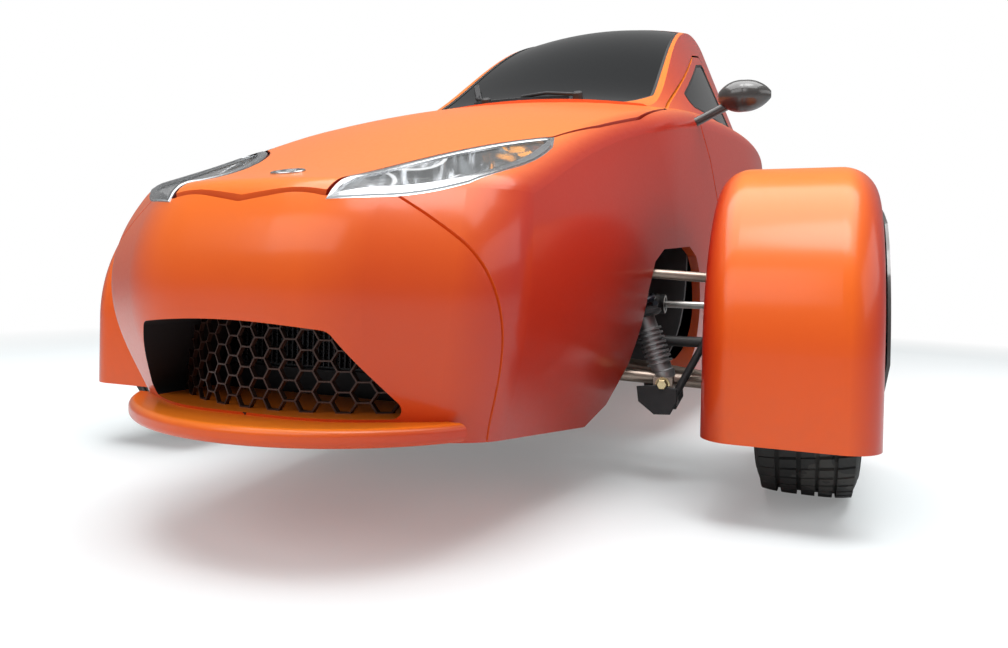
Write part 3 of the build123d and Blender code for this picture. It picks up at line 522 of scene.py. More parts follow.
def ringTree():
    # Units round an X axis
    tree, given = newTree("unitsInRing", {"count": "Int", "centre": "Vector", "start": "Float"})
    dots = addNode(tree, "GeometryNodePoints", sockets={0: given["count"], 1: given["centre"]})
    index = addNode(tree, "GeometryNodeInputIndex")
    share = addNode(tree, "ShaderNodeMath", {"operation": "DIVIDE"}, {0: 2 * math.pi, 1: given["count"]})
    angle = addNode(
        tree, "ShaderNodeMath", {"operation": "MULTIPLY_ADD"},
        {0: index.outputs[0], 1: share.outputs[0], 2: given["start"]},
    )
    turn = addNode(tree, "ShaderNodeCombineXYZ", sockets={0: angle.outputs[0]})
    return closeTree(tree, given, Points=dots.outputs[0], Rotation=turn.outputs[0])


def rowTree():
    # Units along a straight line
    tree, given = newTree("unitsInRow", {"count": "Int", "centre": "Vector", "step": "Vector"})
    line = addNode(
        tree, "GeometryNodeMeshLine", {"mode": "OFFSET"},
        {"Count": given["count"], "Start Location": given["centre"], "Offset": given["step"]},
    )
    return closeTree(tree, given, Points=line.outputs[0])


def spotTree():
    # Units on marked spots, each with its own turn
    tree, given = newTree("unitsOnSpots", {"size": "Float"})
    turn = addNode(tree, "GeometryNodeInputNamedAttribute", {"data_type": "FLOAT_VECTOR"}, {"Name": "turn"})
    return closeTree(tree, given, Points=given["base"], Rotation=turn.outputs[0], Scale=given["size"])


trees = {"ring": ringTree(), "row": rowTree(), "spots": spotTree()}


def runTree(kind, values, base=None):
    # Runs a tree on a throwaway object and gives back its plain mesh
    host = bpy.data.objects.new("host", base or bpy.data.meshes.new("hostMesh"))
    bpy.context.scene.collection.objects.link(host)
    modifier = host.modifiers.new("repeat", "NODES")
    modifier.node_group = trees[kind]
    for item in trees[kind].interface.items_tree:
        if item.in_out == "INPUT" and item.name in values:
            modifier[item.identifier] = values[item.name]
    bpy.context.view_layer.update()
    graph = bpy.context.evaluated_depsgraph_get()
    mesh = bpy.data.meshes.new_from_object(host.evaluated_get(graph))
    host.modifiers.remove(modifier)
    bpy.data.objects.remove(host)
    return mesh


def unitObject(part):
    verts, faces = part
    mesh = bpy.data.meshes.new("unit")
    mesh.from_pydata([tuple(v) for v in verts], [], faces)
    unit = bpy.data.objects.new("unit", mesh)
    bpy.context.scene.collection.objects.link(unit)
    return unit


def spotMesh(spots):
    # Points with the turn that puts a unit's Z on each given direction
    mesh = bpy.data.meshes.new("spots")
    mesh.from_pydata([tuple(place) for place, _ in spots], [], [])
    turns = mesh.attributes.new("turn", "FLOAT_VECTOR", "POINT")
    for index, (_, axis) in enumerate(spots):
        turns.data[index].vector = turnTo(axis).to_euler()
    return mesh


def repeat(name, kind, unit, finish, body, smooth=30.0, base=None, **values):
    made = unitObject(unit)
    mesh = runTree(kind, {"unit": made, "finish": finishes[finish], **values}, base)
    bpy.data.objects.remove(made)
    return finishMesh(name, mesh, finish, body, smooth, False)


# Tyres: a turned carcass with tread blocks set into its crown

frontTyre = {"y": frontAxleY, "radius": 0.283, "rim": 0.178, "width": 0.180}
tyres = {
    "front_left_tyre": {**frontTyre, "x": 0.726, "body": "left_wheel"},
    "front_right_tyre": {**frontTyre, "x": -0.726, "body": "right_wheel"},
    "rear_tyre": {"x": 0.0, "y": 1.6075, "radius": 0.300, "rim": 0.190, "width": 0.190, "body": "back_wheel"},
}
tread = {
    "depth": 0.0075, "blocks": 58, "slant": 0.35, "shoulder": 0.0085, "lengths": (0.84, 0.74),
    # centre and width of each rib as shares of the tyre's width
    "ribs": ((-0.36, 0.15), (-0.165, 0.15), (0.02, 0.13), (0.185, 0.13), (0.36, 0.15)),
}


def tyreProfile(radius, rim, width):
    half = width / 2
    floor = radius - tread["depth"]
    wall = (radius + rim) / 2
    side = [
        (-half * 0.78, rim + 0.0005), (-half * 0.86, rim + 0.006), (-half * 0.88, rim + 0.016),
        (-half * 0.955, wall - 0.026), (-half * 0.955, wall - 0.024), (-half * 0.975, wall - 0.022),
        (-half * 0.995, wall), (-half * 0.985, wall + 0.014), (-half * 0.962, wall + 0.015),
        (-half * 0.955, wall + 0.022), (-half * 0.90, radius - 0.018), (-half * 0.80, floor - 0.0045),
        (-half * 0.5, floor - 0.001), (0, floor),
    ]
    outer = side + [(-along, ring) for along, ring in reversed(side[:-1])]
    inner = [(half * 0.70, rim + 0.006), (half * 0.84, wall), (half * 0.7, floor - 0.012), (0, floor - 0.010)]
    inner += [(-along, ring) for along, ring in reversed(inner[:-1])]
    return outer + inner + [outer[0]]


def treadBlock(radius, width, centre, share, length):
    # One slanted block, its top on the crown and its foot in the carcass
    half = width / 2
    low = (centre - share / 2) * width
    high = (centre + share / 2) * width
    rows = [
        (along, radius - 0.0006 - tread["shoulder"] * (abs(along) / half) ** 3)
        for along in (low, (low + high) / 2, high)
    ]
    verts = []
    for edge in (-1, 1):
        for along, top in rows:
            lean = along * tread["slant"]
            verts.append(Vector((along, edge * length / 2 + lean * 0.5, top)))
            verts.append(Vector((along, edge * (length / 2 + 0.0008) + lean * 0.5, top - tread["depth"] - 0.004)))
    faces = []
    for place in (0, 2):
        faces.append((place, place + 2, place + 8, place + 6))
        faces.append((place, place + 1, place + 3, place + 2))
        faces.append((place + 6, place + 8, place + 9, place + 7))
        faces.append((place + 1, place + 7, place + 9, place + 3))
    faces += [(0, 6, 7, 1), (4, 5, 11, 10)]
    return verts, faces


for name, size in tyres.items():
    hub = (size["x"], size["y"], size["radius"])
    profile = tyreProfile(size["radius"], size["rim"], size["width"])
    carcass = makePiece(name + "_carcass", *lathe(profile, hub, (1, 0, 0), 96), "rubber", size["body"], 40)
    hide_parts(name)
    pitch = 2 * math.pi * size["radius"] / tread["blocks"]
    blocks = joined([
        treadBlock(size["radius"], size["width"], centre, share, pitch * tread["lengths"][index % 2])
        for index, (centre, share) in enumerate(tread["ribs"])
    ])
    repeat(
        name + "_tread", "ring", blocks, "rubber", size["body"], 20, count=tread["blocks"], centre=hub, start=0.0,
    )
print("tyres made")


# Fasteners

def hexHead(radius, height, washer=1.5):
    # A chamfered hexagon head on a washer, along Z
    base = [(0, 0.0001), (0, radius * washer), (height * 0.2, radius * washer), (height * 0.22, radius * 1.1)]
    rings = ((height * 0.2, radius), (height * 0.85, radius), (height, radius * 0.84))
    verts = [Vector((ring * cos, ring * sin, along)) for along, ring in rings for cos, sin in circle(6)]
    return joined([lathe(base, (0, 0, 0), (0, 0, 1), 18), (verts, band(3, 6) + [tuple(range(12, 18))])])


wheelNuts = {"circle": 0.030, "across": 0.0075, "height": 0.012, "washer": 1.35, "count": 5, "sunk": 0.0004}
for name, size in tyres.items():
    side = -1 if size["x"] < 0 else 1
    face = size["width"] * 0.22 + 0.022
    verts, faces = hexHead(wheelNuts["across"], wheelNuts["height"], wheelNuts["washer"])
    turn = turnTo((side, 0, 0))
    place = Vector((side * (face - wheelNuts["sunk"]), 0, wheelNuts["circle"]))
    repeat(
        name.replace("tyre", "nuts"), "ring", ([turn @ v + place for v in verts], faces), "bolt", size["body"], 25,
        count=wheelNuts["count"], centre=(size["x"], size["y"], size["radius"]), start=math.pi / 5,
    )
print("wheel nuts made")


# Coil-overs: ribbed alloy body below, wound spring above

coilOver = {
    "foot": fromAxle(455, -62, 210), "top": fromAxle(314, -44, 579), "wire": 0.0058, "coil": 0.0305,
    "turns": 7, "springFrom": 0.385, "springTo": 0.885, "ribs": 8,
}


def coilOverParts():
    spec = coilOver
    way = spec["top"] - spec["foot"]
    length = way.length
    body = [(0.0, 0.0001), (0.0, 0.022), (0.016, 0.023), (0.018, 0.0205), (0.030, 0.0205)]
    for rib in range(spec["ribs"]):
        start = 0.032 + rib * 0.0098
        body += [(start, 0.0205), (start + 0.001, 0.0262), (start + 0.005, 0.0262), (start + 0.006, 0.0205)]
    body += [(length * 0.33, 0.0205), (length * 0.33, 0.0001)]
    seat = [
        (length * 0.33, 0.0001), (length * 0.33, 0.030), (length * 0.34, 0.0375), (length * 0.355, 0.0375),
        (length * 0.36, 0.033), (length * 0.372, 0.033), (length * 0.374, 0.024), (length * 0.60, 0.0235),
        (length * 0.61, 0.0105), (length * 0.90, 0.0105), (length * 0.90, 0.030), (length * 0.905, 0.0375),
        (length * 0.918, 0.0375), (length * 0.93, 0.022), (length * 0.975, 0.012), (length * 0.975, 0.0001),
    ]
    turn = turnTo(way)
    foot = spec["foot"]
    spots = []
    steps = spec["turns"] * 20
    for step in range(steps + 1):
        share = step / steps
        # The end turns lie flat on their seats
        ease = min(1.0, max(0.0, (share * spec["turns"] - 0.6) / (spec["turns"] - 1.2)))
        along = length * (spec["springFrom"] + (spec["springTo"] - spec["springFrom"]) * ease)
        angle = share * spec["turns"] * 2 * math.pi
        spots.append(foot + turn @ Vector((spec["coil"] * math.cos(angle), spec["coil"] * math.sin(angle), along)))
    return lathe(body, foot, way), lathe(seat, foot, way), tube(spots, spec["wire"], 10)


bodyPart, seatPart, springPart = coilOverParts()
shockBodies = makePiece("coil_over_bodies", *bothSides(bodyPart), "castAlloy", "chassis", 30)
makePiece("coil_over_seats", *bothSides(seatPart), "trim", "chassis", 30)
makePiece("coil_over_springs", *bothSides(springPart), "spring", "chassis", 60)
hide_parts("coil_overs")
print("coil-overs made")


# Ribbed boots on the steering rack

rackBoot = {"from": 0.3065, "to": 0.421, "low": 0.0206, "high": 0.0266, "folds": 9}


def rackBootPart():
    spec = rackBoot
    length = spec["to"] - spec["from"]
    pitch = (length - 0.026) / spec["folds"]
    profile = [(0, 0.0135), (0, 0.024), (0.008, 0.024), (0.009, spec["low"])]
    for fold in range(spec["folds"]):
        start = 0.011 + fold * pitch
        shrink = 1 - 0.14 * fold / spec["folds"]
        profile += [(start, spec["low"]), (start + pitch / 2, spec["high"] * shrink + 0.001)]
    profile += [(length - 0.012, spec["low"]), (length - 0.011, 0.0225), (length - 0.002, 0.0225), (length, 0.0085)]
    return lathe(profile, fromAxle(spec["from"] * 1000, 116, 356), (1, -0.009, 0))


makePiece("rack_boots", *bothSides(rackBootPart()), "boot", "rack", 50)


# Bolt heads on the suspension, brass ones at the shock absorbers' feet

boltSpots = {"foot": (455, -92.4, 203), "pivotX": 264, "pivotY": 87.2, "pivotZ": (432, 300), "ball": (660, 430.2)}
footBolts = []
armBolts = []
for side in (-1, 1):
    x, y, z = boltSpots["foot"]
    footBolts.append((fromAxle(side * x, y, z), Vector((0, -1, 0))))
    for outward in (-1, 1):
        for z in boltSpots["pivotZ"]:
            place = fromAxle(side * boltSpots["pivotX"], outward * boltSpots["pivotY"], z)
            armBolts.append((place, Vector((0, outward, 0))))
    x, z = boltSpots["ball"]
    armBolts.append((fromAxle(side * x, 0, z), Vector((0, 0, 1))))
repeat("shock_foot_bolts", "spots", hexHead(0.011, 0.012, 1.3), "brass", "chassis", 25, spotMesh(footBolts), size=1.0)
repeat("arm_bolts", "spots", hexHead(0.008, 0.009), "bolt", "chassis", 25, spotMesh(armBolts), size=1.0)
print("suspension dressed")


# Radiator core: flat tubes with folded fins between them

radiatorCore = {
    "half": 0.200, "front": -0.5665, "low": 0.256, "high": 0.420, "pitch": 0.0105, "tube": 0.0022, "fold": 0.0042,
    "deep": 0.006,
}


def coreUnit():
    spec = radiatorCore
    y = frontAxleY + spec["front"]
    low, high = spec["low"], spec["high"]
    verts = [Vector((x, y + depth, z)) for x in (0, spec["tube"]) for depth in (0, spec["deep"]) for z in (low, high)]
    faces = list(boxFaces)
    folds = int((high - low) / spec["fold"])
    for fold in range(folds + 1):
        z = low + (high - low) * fold / folds
        x = spec["tube"] if fold % 2 else spec["pitch"]
        start = len(verts)
        verts += [Vector((x, y + 0.0008, z)), Vector((x, y + 0.0058, z))]
        if fold:
            faces.append((start - 2, start - 1, start + 1, start))
    return verts, faces


coreCount = int(radiatorCore["half"] * 2 / radiatorCore["pitch"])
repeat(
    "radiator_core", "row", coreUnit(), "core", "chassis", 0,
    count=coreCount, centre=(-radiatorCore["half"], 0, 0), step=(radiatorCore["pitch"], 0, 0),
)
print("radiator core made")


# Headlamp insides

lamp = {
    "centre": fromAxle(240, -590, 580), "look": Vector((0.3, -0.55, 0.78)).normalized(),
    "across": Vector((0.6, 0.75, 0.298)), "floor": -0.0885,
    # along, across, bowl radius, bulb radius
    "bowls": ((-0.064, -0.008, 0.0298, 0.007), (0.020, 0.006, 0.0398, 0.019), (0.112, 0.014, 0.0318, 0.008)),
}
lampTurn = turnTo(lamp["look"], lamp["across"])


def lampSpot(along, across, depth):
    return lamp["centre"] + lampTurn @ Vector((along, across, depth))


bowlParts = []
bulbParts = []
for along, across, radius, bulb in lamp["bowls"]:
    dish = [(0.003 + 0.030 * (step / 8) ** 2, 0.0001 + (radius - 0.0008) * step / 8) for step in range(9)]
    dish += [(0.036, radius - 0.0008), (0.036, radius + 0.0045), (0.034, radius + 0.0045), (0.031, radius - 0.0001)]
    bowlParts.append(lathe(dish, lampSpot(along, across, lamp["floor"]), lamp["look"], 40))
    dome = [(0.004, 0.0001), (0.004, bulb * 1.15), (0.014, bulb * 1.15), (0.0145, bulb)]
    for step in range(1, 7):
        angle = math.pi / 2 * step / 6
        dome.append((0.0145 + bulb * 0.62 * math.sin(angle), max(0.0001, bulb * math.cos(angle))))
    bulbParts.append(lathe(dome, lampSpot(along, across, lamp["floor"]), lamp["look"], 28))
makePiece("lamp_bowls", *bothSides(joined(bowlParts)), "chrome", "chassis", 30)
makePiece("lamp_bulbs", *bothSides(joined(bulbParts)), "clear", "chassis", 40)

amberWedge = {
    "from": 0.145, "to": 0.208, "depth": -0.052, "ribs": 22, "high": 0.064, "low": 0.022, "rise": 0.024,
    "proud": 0.0025, "thick": 0.012,
}


def amberPart():
    # Ribbed amber reflector that follows the lamp's outer top corner
    spec = amberWedge
    verts = []
    for rib in range(spec["ribs"] + 1):
        share = rib / spec["ribs"]
        along = spec["from"] + (spec["to"] - spec["from"]) * share
        low = spec["low"] + spec["rise"] * share
        front = spec["depth"] + (spec["proud"] if rib % 2 else 0.0)
        back = spec["depth"] - spec["thick"]
        corners = ((low, front), (low, back), (spec["high"], back), (spec["high"], front))
        verts += [lampSpot(along, across, depth) for across, depth in corners]
    return verts, capped(spec["ribs"] + 1, 4)


makePiece("amber_reflectors", *bothSides(amberPart()), "amber", "chassis", 0)


rimBand = {
    "wide": 0.017,
    # share of the width, height over the lens
    "section": ((0.12, 0.0004), (0.2, 0.0022), (0.8, 0.0026), (1.0, 0.0010)), "deep": 0.004,
    # millimetres along and across the lamp: tip, top, outer corners, low corner, low middle
    "outline": (
        (-231.9, -34.8), (0.2, 72.1), (226.6, 71.3), (187.1, 23.8), (95.3, -38.0), (-45.4, -91.3), (-143.8, -75.9),
    ),
}


def arc(first, middle, last, steps):
    # Points of the circle through three points
    (ax, ay), (bx, by), (cx, cy) = first, middle, last
    base = 2 * (ax * (by - cy) + bx * (cy - ay) + cx * (ay - by))
    a, b, c = ax * ax + ay * ay, bx * bx + by * by, cx * cx + cy * cy
    ux = (a * (by - cy) + b * (cy - ay) + c * (ay - by)) / base
    uy = (a * (cx - bx) + b * (ax - cx) + c * (bx - ax)) / base
    reach = math.hypot(ax - ux, ay - uy)
    start = math.atan2(ay - uy, ax - ux)
    sweep = (math.atan2(cy - uy, cx - ux) - start) % (2 * math.pi)
    if (math.atan2(by - uy, bx - ux) - start) % (2 * math.pi) > sweep:
        sweep -= 2 * math.pi
    angles = [start + sweep * step / steps for step in range(steps)]
    return [(ux + reach * math.cos(angle), uy + reach * math.sin(angle)) for angle in angles]


def nearest(names, start, way):
    # The first of several CAD nodes that a line meets
    found = [nodes[name].ray_cast(start, way) for name in names]
    spots = [spot for hit, spot, _, _ in found if hit]
    return min(spots, key=lambda spot: (spot - start).length) if spots else None


def lampRim():
    # Satin band over the lens edge, inside the lamp's outline
    look = lamp["look"]
    a, b, c, d, e, f, g = (tuple(value / 1000 for value in spot) for spot in rimBand["outline"])
    path = arc(a, b, c, 26) + [c] + arc(d, e, f, 12) + arc(f, g, a, 16)
    count = len(path)
    middle = Vector((-0.02, 0.0))
    rows = []
    for index, spot in enumerate(path):
        flow = (Vector(path[(index + 1) % count]) - Vector(path[index - 1])).normalized()
        inward = Vector((flow.y, -flow.x))
        if inward.dot(middle - Vector(spot)) < 0:
            inward = -inward
        wide = rimBand["wide"] * min(1.0, 0.45 + index / 9, 0.45 + (count - index) / 9)
        row = []
        for share, lift in rimBand["section"]:
            place = Vector(spot) + inward * wide * share
            best = nearest(("headlamp_bezels", "headlamp_lenses"), lampSpot(place.x, place.y, 0.25), -look)
            row.append(None if best is None else best + look * lift)
        if None not in row:
            rows.append(row)
    verts = []
    for row in rows:
        verts += [*row, row[3] - look * rimBand["deep"], row[0] - look * rimBand["deep"]]
    return verts, band(len(rows), 6, True, True)


makePiece("lamp_rims", *bothSides(lampRim()), "bezel", "chassis", 40)
print("headlamps made")


# Blank oval badge on the nose

badge = {"place": fromAxle(0, -694, 585), "wide": 0.0275, "long": 0.0225, "rim": 0.004, "lift": 0.003}


def badgePart():
    spec = badge
    spot, up = onSurface("hood_panel", spec["place"] + Vector((0, 0, 0.2)), spec["place"])
    turn = turnTo(up, (1, 0, 0))
    # height, growth
    rings = (
        (-0.004, 0.0), (spec["lift"] * 0.6, 0.0), (spec["lift"], -0.0008), (spec["lift"], -spec["rim"]),
        (spec["lift"] * 0.5, -spec["rim"] - 0.0006),
    )
    steps = 48
    verts = []
    for height, grow in rings:
        for cos, sin in circle(steps):
            across = (spec["wide"] + grow) * cos
            # The badge follows the hood's crown across the car
            rise = height - across * across * 0.6
            verts.append(spot + turn @ Vector((across, (spec["long"] + grow) * sin, rise)))
    return verts, band(len(rings), steps) + [tuple(range(4 * steps, 5 * steps))]


makePiece("nose_badge", *badgePart(), "bezel", "hood", 30)
print("badge made")


# Foot brackets of the coil-overs and the black links above them

footBracket = {
    # corners (x, z) in metres, then the front and back of each plate
    "outline": (
        (0.404, 0.196), (0.452, 0.202), (0.484, 0.196), (0.486, 0.172), (0.472, 0.144), (0.440, 0.142), (0.408, 0.166),
    ),
    "plates": ((-0.101, -0.0935), (-0.0305, -0.023)), "spacer": 0.017,
}
link = {
    "low": fromAxle(472, -84, 168), "high": fromAxle(590, -18, 412), "radius": 0.0075, "end": 0.0125,
    "lowHalf": 0.011, "highHalf": 0.010,
}


def slab(outline, front, back, edge=0.0015):
    # Plate across the car from (x, z) corners, with a small bevel
    middleX = sum(x for x, _ in outline) / len(outline)
    middleZ = sum(z for _, z in outline) / len(outline)
    verts = []
    for y, inset in ((front, edge), (front + edge, 0), (back - edge, 0), (back, edge)):
        for x, z in outline:
            arm = Vector((x - middleX, 0, z - middleZ))
            verts.append(Vector((x, frontAxleY + y, z)) - arm.normalized() * inset)
    return verts, capped(4, len(outline))


def linkEye(end, half):
    ring = [(-half, 0.0001), (-half, link["end"]), (half, link["end"]), (half, 0.0001)]
    return lathe(ring, link[end], (0, 1, 0), 20)


bracketParts = [slab(footBracket["outline"], *plate) for plate in footBracket["plates"]]
bracketParts.append(tube([fromAxle(455, -98, 166), fromAxle(455, -27, 166)], footBracket["spacer"], 20))
makePiece("shock_foot_brackets", *bothSides(joined(bracketParts)), "trim", "chassis", 30)
linkBar = joined([
    tube([link["low"], link["high"]], link["radius"], 16),
    linkEye("low", link["lowHalf"]), linkEye("high", link["highHalf"]),
])
makePiece("arm_links", *bothSides(linkBar), "trim", "chassis", 30)
print("brackets and links made")


# Rubber seals round the panes, laid on the glass just inside each opening

seals = (
    # name, pane, outline behind the axle, seen from, corner radius, body
    ("windscreen_seal", "windscreen", ((0, 266), (250, 304), (318, 430), (262, 1180), (0, 1222)), "top", 30, "chassis"),
    ("hatch_seal", "hatch_window", ((168, 2070), (148, 2660)), "top", 30, "hatch"),
    ("door_seal", "door_window", ((522, 904), (1040, 1142), (1222, 1190), (1222, 928)), "left", 24, "door"),
    (
        "side_seal", "right_window",
        ((500, 904), (1040, 1142), (1420, 1240), (1570, 1190), (1690, 980), (1650, 932)), "right", 24, "chassis",
    ),
)
sealLook = {"inset": 0.0045, "half": 0.0042, "proud": 0.0026, "step": 0.016}


def roundedPath(corners, radius, step, inset):
    # Evenly stepped closed path with rounded corners, drawn in by inset
    count = len(corners)
    area = sum(
        corners[index][0] * corners[(index + 1) % count][1] - corners[(index + 1) % count][0] * corners[index][1]
        for index in range(count)
    )
    way = 1 if area > 0 else -1
    path = []
    for index in range(count):
        before, here, after = (Vector(corners[(index + shift) % count]) for shift in (-1, 0, 1))
        into = (here - before).normalized()
        out = (after - here).normalized()
        turn = into.angle(out)
        if turn < 0.02:
            path.append((here, Vector((-into.y, into.x)) * way))
            continue
        trim = min(radius * math.tan(turn / 2), (here - before).length * 0.48, (after - here).length * 0.48)
        for share in (0, 0.2, 0.4, 0.6, 0.8, 1):
            first = here - into * trim * (1 - share)
            second = here + out * trim * share
            spot = first.lerp(second, share)
            flow = into.lerp(out, share).normalized()
            path.append((spot, Vector((-flow.y, flow.x)) * way))
    result = []
    for index in range(len(path)):
        (a, sideA), (b, sideB) = path[index], path[(index + 1) % len(path)]
        parts = max(1, int((b - a).length / step))
        for part in range(parts):
            share = part / parts
            result.append(a.lerp(b, share) + sideA.lerp(sideB, share).normalized() * inset)
    return result


def sealPart(pane, outline, seen, radius):
    look = sealLook
    if seen == "top":
        whole = [(x / 1000, y / 1000) for x, y in outline]
        whole += [(-x, y) for x, y in reversed(whole) if x]
    else:
        whole = [(y / 1000, z / 1000) for y, z in outline]
    rings = []
    for spot in roundedPath(whole, radius / 1000, look["step"], look["inset"]):
        if seen == "top":
            start = Vector((spot.x, frontAxleY + spot.y, 1.7))
            way = Vector((0, 0, -1))
        else:
            side = 1 if seen == "left" else -1
            start = Vector((side * 0.8, frontAxleY + spot.x, spot.y))
            way = Vector((-side, 0, 0))
        hit, place, normal, _ = nodes[pane].ray_cast(start, way)
        if hit:
            rings.append((place, -normal if normal.dot(way) > 0 else normal))
    verts = []
    section = ((-1, -0.4), (-1, 0.7), (-0.6, 1.0), (0.6, 1.0), (1, 0.7), (1, -0.4))
    for index, (place, normal) in enumerate(rings):
        flow = (rings[(index + 1) % len(rings)][0] - rings[index - 1][0]).normalized()
        side = normal.cross(flow).normalized()
        for across, up in section:
            verts.append(place + side * across * look["half"] + normal * up * look["proud"])
    return verts, band(len(rings), len(section), closed=True)


for name, pane, outline, seen, radius, body in seals:
    makePiece(name, *sealPart(pane, outline, seen, radius), "boot", body, 50)
print("seals made")


# Flush door handle and the mirror's glass

handle = {"y": 1170, "z": 742, "length": 0.150, "height": 0.026, "proud": 0.016, "rows": 14}


def handlePart():
    spec = handle
    start = fromAxle(800, spec["y"], spec["z"])
    spot, out = onSurface("door_shell", start, start + Vector((-0.2, 0, 0)))
    turn = turnTo(out, (0, 1, 0))
    verts = []
    rows = spec["rows"]
    around = 10
    for row in range(rows + 1):
        along = (row / rows - 0.5) * spec["length"]
        arch = 1 - abs(row / rows * 2 - 1) ** 4
        tall = spec["height"] / 2 * (0.55 + 0.45 * arch)
        for cos, sin in circle(around):
            rise = -0.002 + spec["proud"] * (0.15 + 0.85 * arch) * (0.5 + 0.5 * sin)
            verts.append(spot + turn @ Vector((along, tall * cos, rise)))
    ends = [tuple(reversed(range(around))), tuple(range(rows * around, (rows + 1) * around))]
    return verts, band(rows + 1, around) + ends


makePiece("door_handle", *handlePart(), "paint", "door", 40)

mirrorGlass = {
    "centre": fromAxle(564, 500, 862), "wide": 0.044, "tall": 0.024, "steps": 40,
    # share of the size, height over the head's rear side
    "rings": ((1.0, -0.002), (1.0, 0.0014), (0.9, 0.0018), (0.5, 0.0018), (0.02, 0.0018)),
}


def mirrorGlassPart():
    # Oval glass laid on the rear side of the mirror's head
    spec = mirrorGlass
    verts = []
    for size, lift in spec["rings"]:
        for cos, sin in circle(spec["steps"]):
            start = spec["centre"] + Vector((spec["wide"] * size * cos, 0, spec["tall"] * size * sin))
            place, _ = onSurface("left_mirror", start, start + Vector((0, -1, 0)))
            verts.append(place + Vector((0, lift, 0)))
    count = spec["steps"]
    ends = [tuple(range(count)), tuple(range(4 * count, 5 * count))]
    return verts, ends + band(5, count)


makePiece("mirror_glass", *mirrorGlassPart(), "mirrorGlass", "chassis", 40)
print("door handle and mirror glass made")


# Wiper arms from their pivots to the blades

wiper = {
    # pivot, elbow and blade of each arm, across and behind the axle
    "arms": (((150, 286), (60, 300), (-20, 326)), ((-110, 290), (-170, 360), (-196, 430))),
    "lift": (0.016, 0.024, 0.017), "radius": 0.0045,
    "over": ("windscreen", "cabin_frame", "hood_panel", "left_front_panel", "right_front_panel"),
    "knob": ((-0.016, 0.0001), (-0.016, 0.014), (0.004, 0.013), (0.008, 0.008), (0.008, 0.0001)),
}


def wiperArm(path):
    rings = []
    for (x, y), lift in zip(path, wiper["lift"]):
        rings.append(nearest(wiper["over"], fromAxle(x, y, 1600), Vector((0, 0, -1))) + Vector((0, 0, lift)))
    bends = [rings[0], rings[0].lerp(rings[1], 0.5), rings[1], rings[1].lerp(rings[2], 0.5), rings[2]]
    return joined([tube(bends, wiper["radius"], 10), lathe(wiper["knob"], rings[0], (0, -0.35, 0.93), 20)])


makePiece("wiper_arms", *joined([wiperArm(path) for path in wiper["arms"]]), "trim", "chassis", 40)
print("wiper arms made")


# Seats: padded cushion and back on the shell of each seat

seatPads = {
    "half": 0.200, "voxel": 0.006, "cap": 0.014, "pressure": 4.0, "frames": 20, "channel": 0.072,
    "seamDepth": 0.0055, "seamWidth": 0.006, "fill": 0.75, "shellHalf": 0.206,
    # outlines from the seat's own place, (behind, height)
    "cushion": ((-0.236, 0.300), (-0.246, 0.376), (-0.205, 0.392), (0.150, 0.362), (0.170, 0.318), (0.150, 0.292)),
    "back": ((0.206, 0.384), (0.322, 0.880), (0.342, 0.915), (0.388, 0.912), (0.392, 0.876), (0.266, 0.372)),
    "shell": (
        (-0.222, 0.208), (-0.240, 0.300), (0.160, 0.290), (0.206, 0.360), (0.268, 0.366), (0.396, 0.880),
        (0.398, 0.922), (0.428, 0.922), (0.296, 0.296), (0.226, 0.208),
    ),
    "seats": (("front_seat", 1.000), ("rear_seat", 1.640)),
}


def padForm(outline, seatY, half):
    # Prism across the car whose ends pull in a little
    verts = []
    middleY = sum(y for y, _ in outline) / len(outline)
    middleZ = sum(z for _, z in outline) / len(outline)
    for x, share in ((-half, 0.80), (-half * 0.94, 1.0), (half * 0.94, 1.0), (half, 0.80)):
        for y, z in outline:
            place = frontAxleY + seatY + middleY + (y - middleY) * share
            verts.append(Vector((x, place, middleZ + (z - middleZ) * share)))
    return verts, capped(4, len(outline))


def softPad(name, part, body, finish):
    # Remeshed, blown up as cloth, held to a cap, then sewn along two channels
    spec = seatPads
    pad = makePiece(name, *part, finish, None, 180, False)
    bpy.context.view_layer.objects.active = pad
    remesh = pad.modifiers.new("remesh", "REMESH")
    remesh.mode = "VOXEL"
    remesh.voxel_size = spec["voxel"]
    bpy.ops.object.modifier_apply(modifier=remesh.name)
    rest = [vertex.co.copy() for vertex in pad.data.vertices]
    cloth = pad.modifiers.new("cloth", "CLOTH")
    cloth.settings.use_pressure = True
    cloth.settings.uniform_pressure_force = spec["pressure"]
    cloth.settings.effector_weights.gravity = 0
    scene = bpy.context.scene
    for step in range(1, spec["frames"] + 1):
        scene.frame_set(step)
    graph = bpy.context.evaluated_depsgraph_get()
    blown = [vertex.co.copy() for vertex in pad.evaluated_get(graph).data.vertices]
    pad.modifiers.remove(cloth)
    scene.frame_set(1)
    for vertex, start, end in zip(pad.data.vertices, rest, blown):
        move = end - start
        if move.length > spec["cap"]:
            move = move.normalized() * spec["cap"]
        vertex.co = start + move
    finer = pad.modifiers.new("finer", "SUBSURF")
    finer.levels = 1
    finer.render_levels = 1
    bpy.ops.object.modifier_apply(modifier=finer.name)
    pad.data.update()
    moves = []
    for vertex in pad.data.vertices:
        near = min(abs(abs(vertex.co.x) - spec["channel"]), abs(abs(vertex.co.x) - spec["half"] * 0.86))
        moves.append(vertex.normal * -spec["seamDepth"] * math.exp(-(near / spec["seamWidth"]) ** 2))
    for vertex, move in zip(pad.data.vertices, moves):
        vertex.co += move
    for face in pad.data.polygons:
        face.use_smooth = True
    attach(pad, body)
    return pad


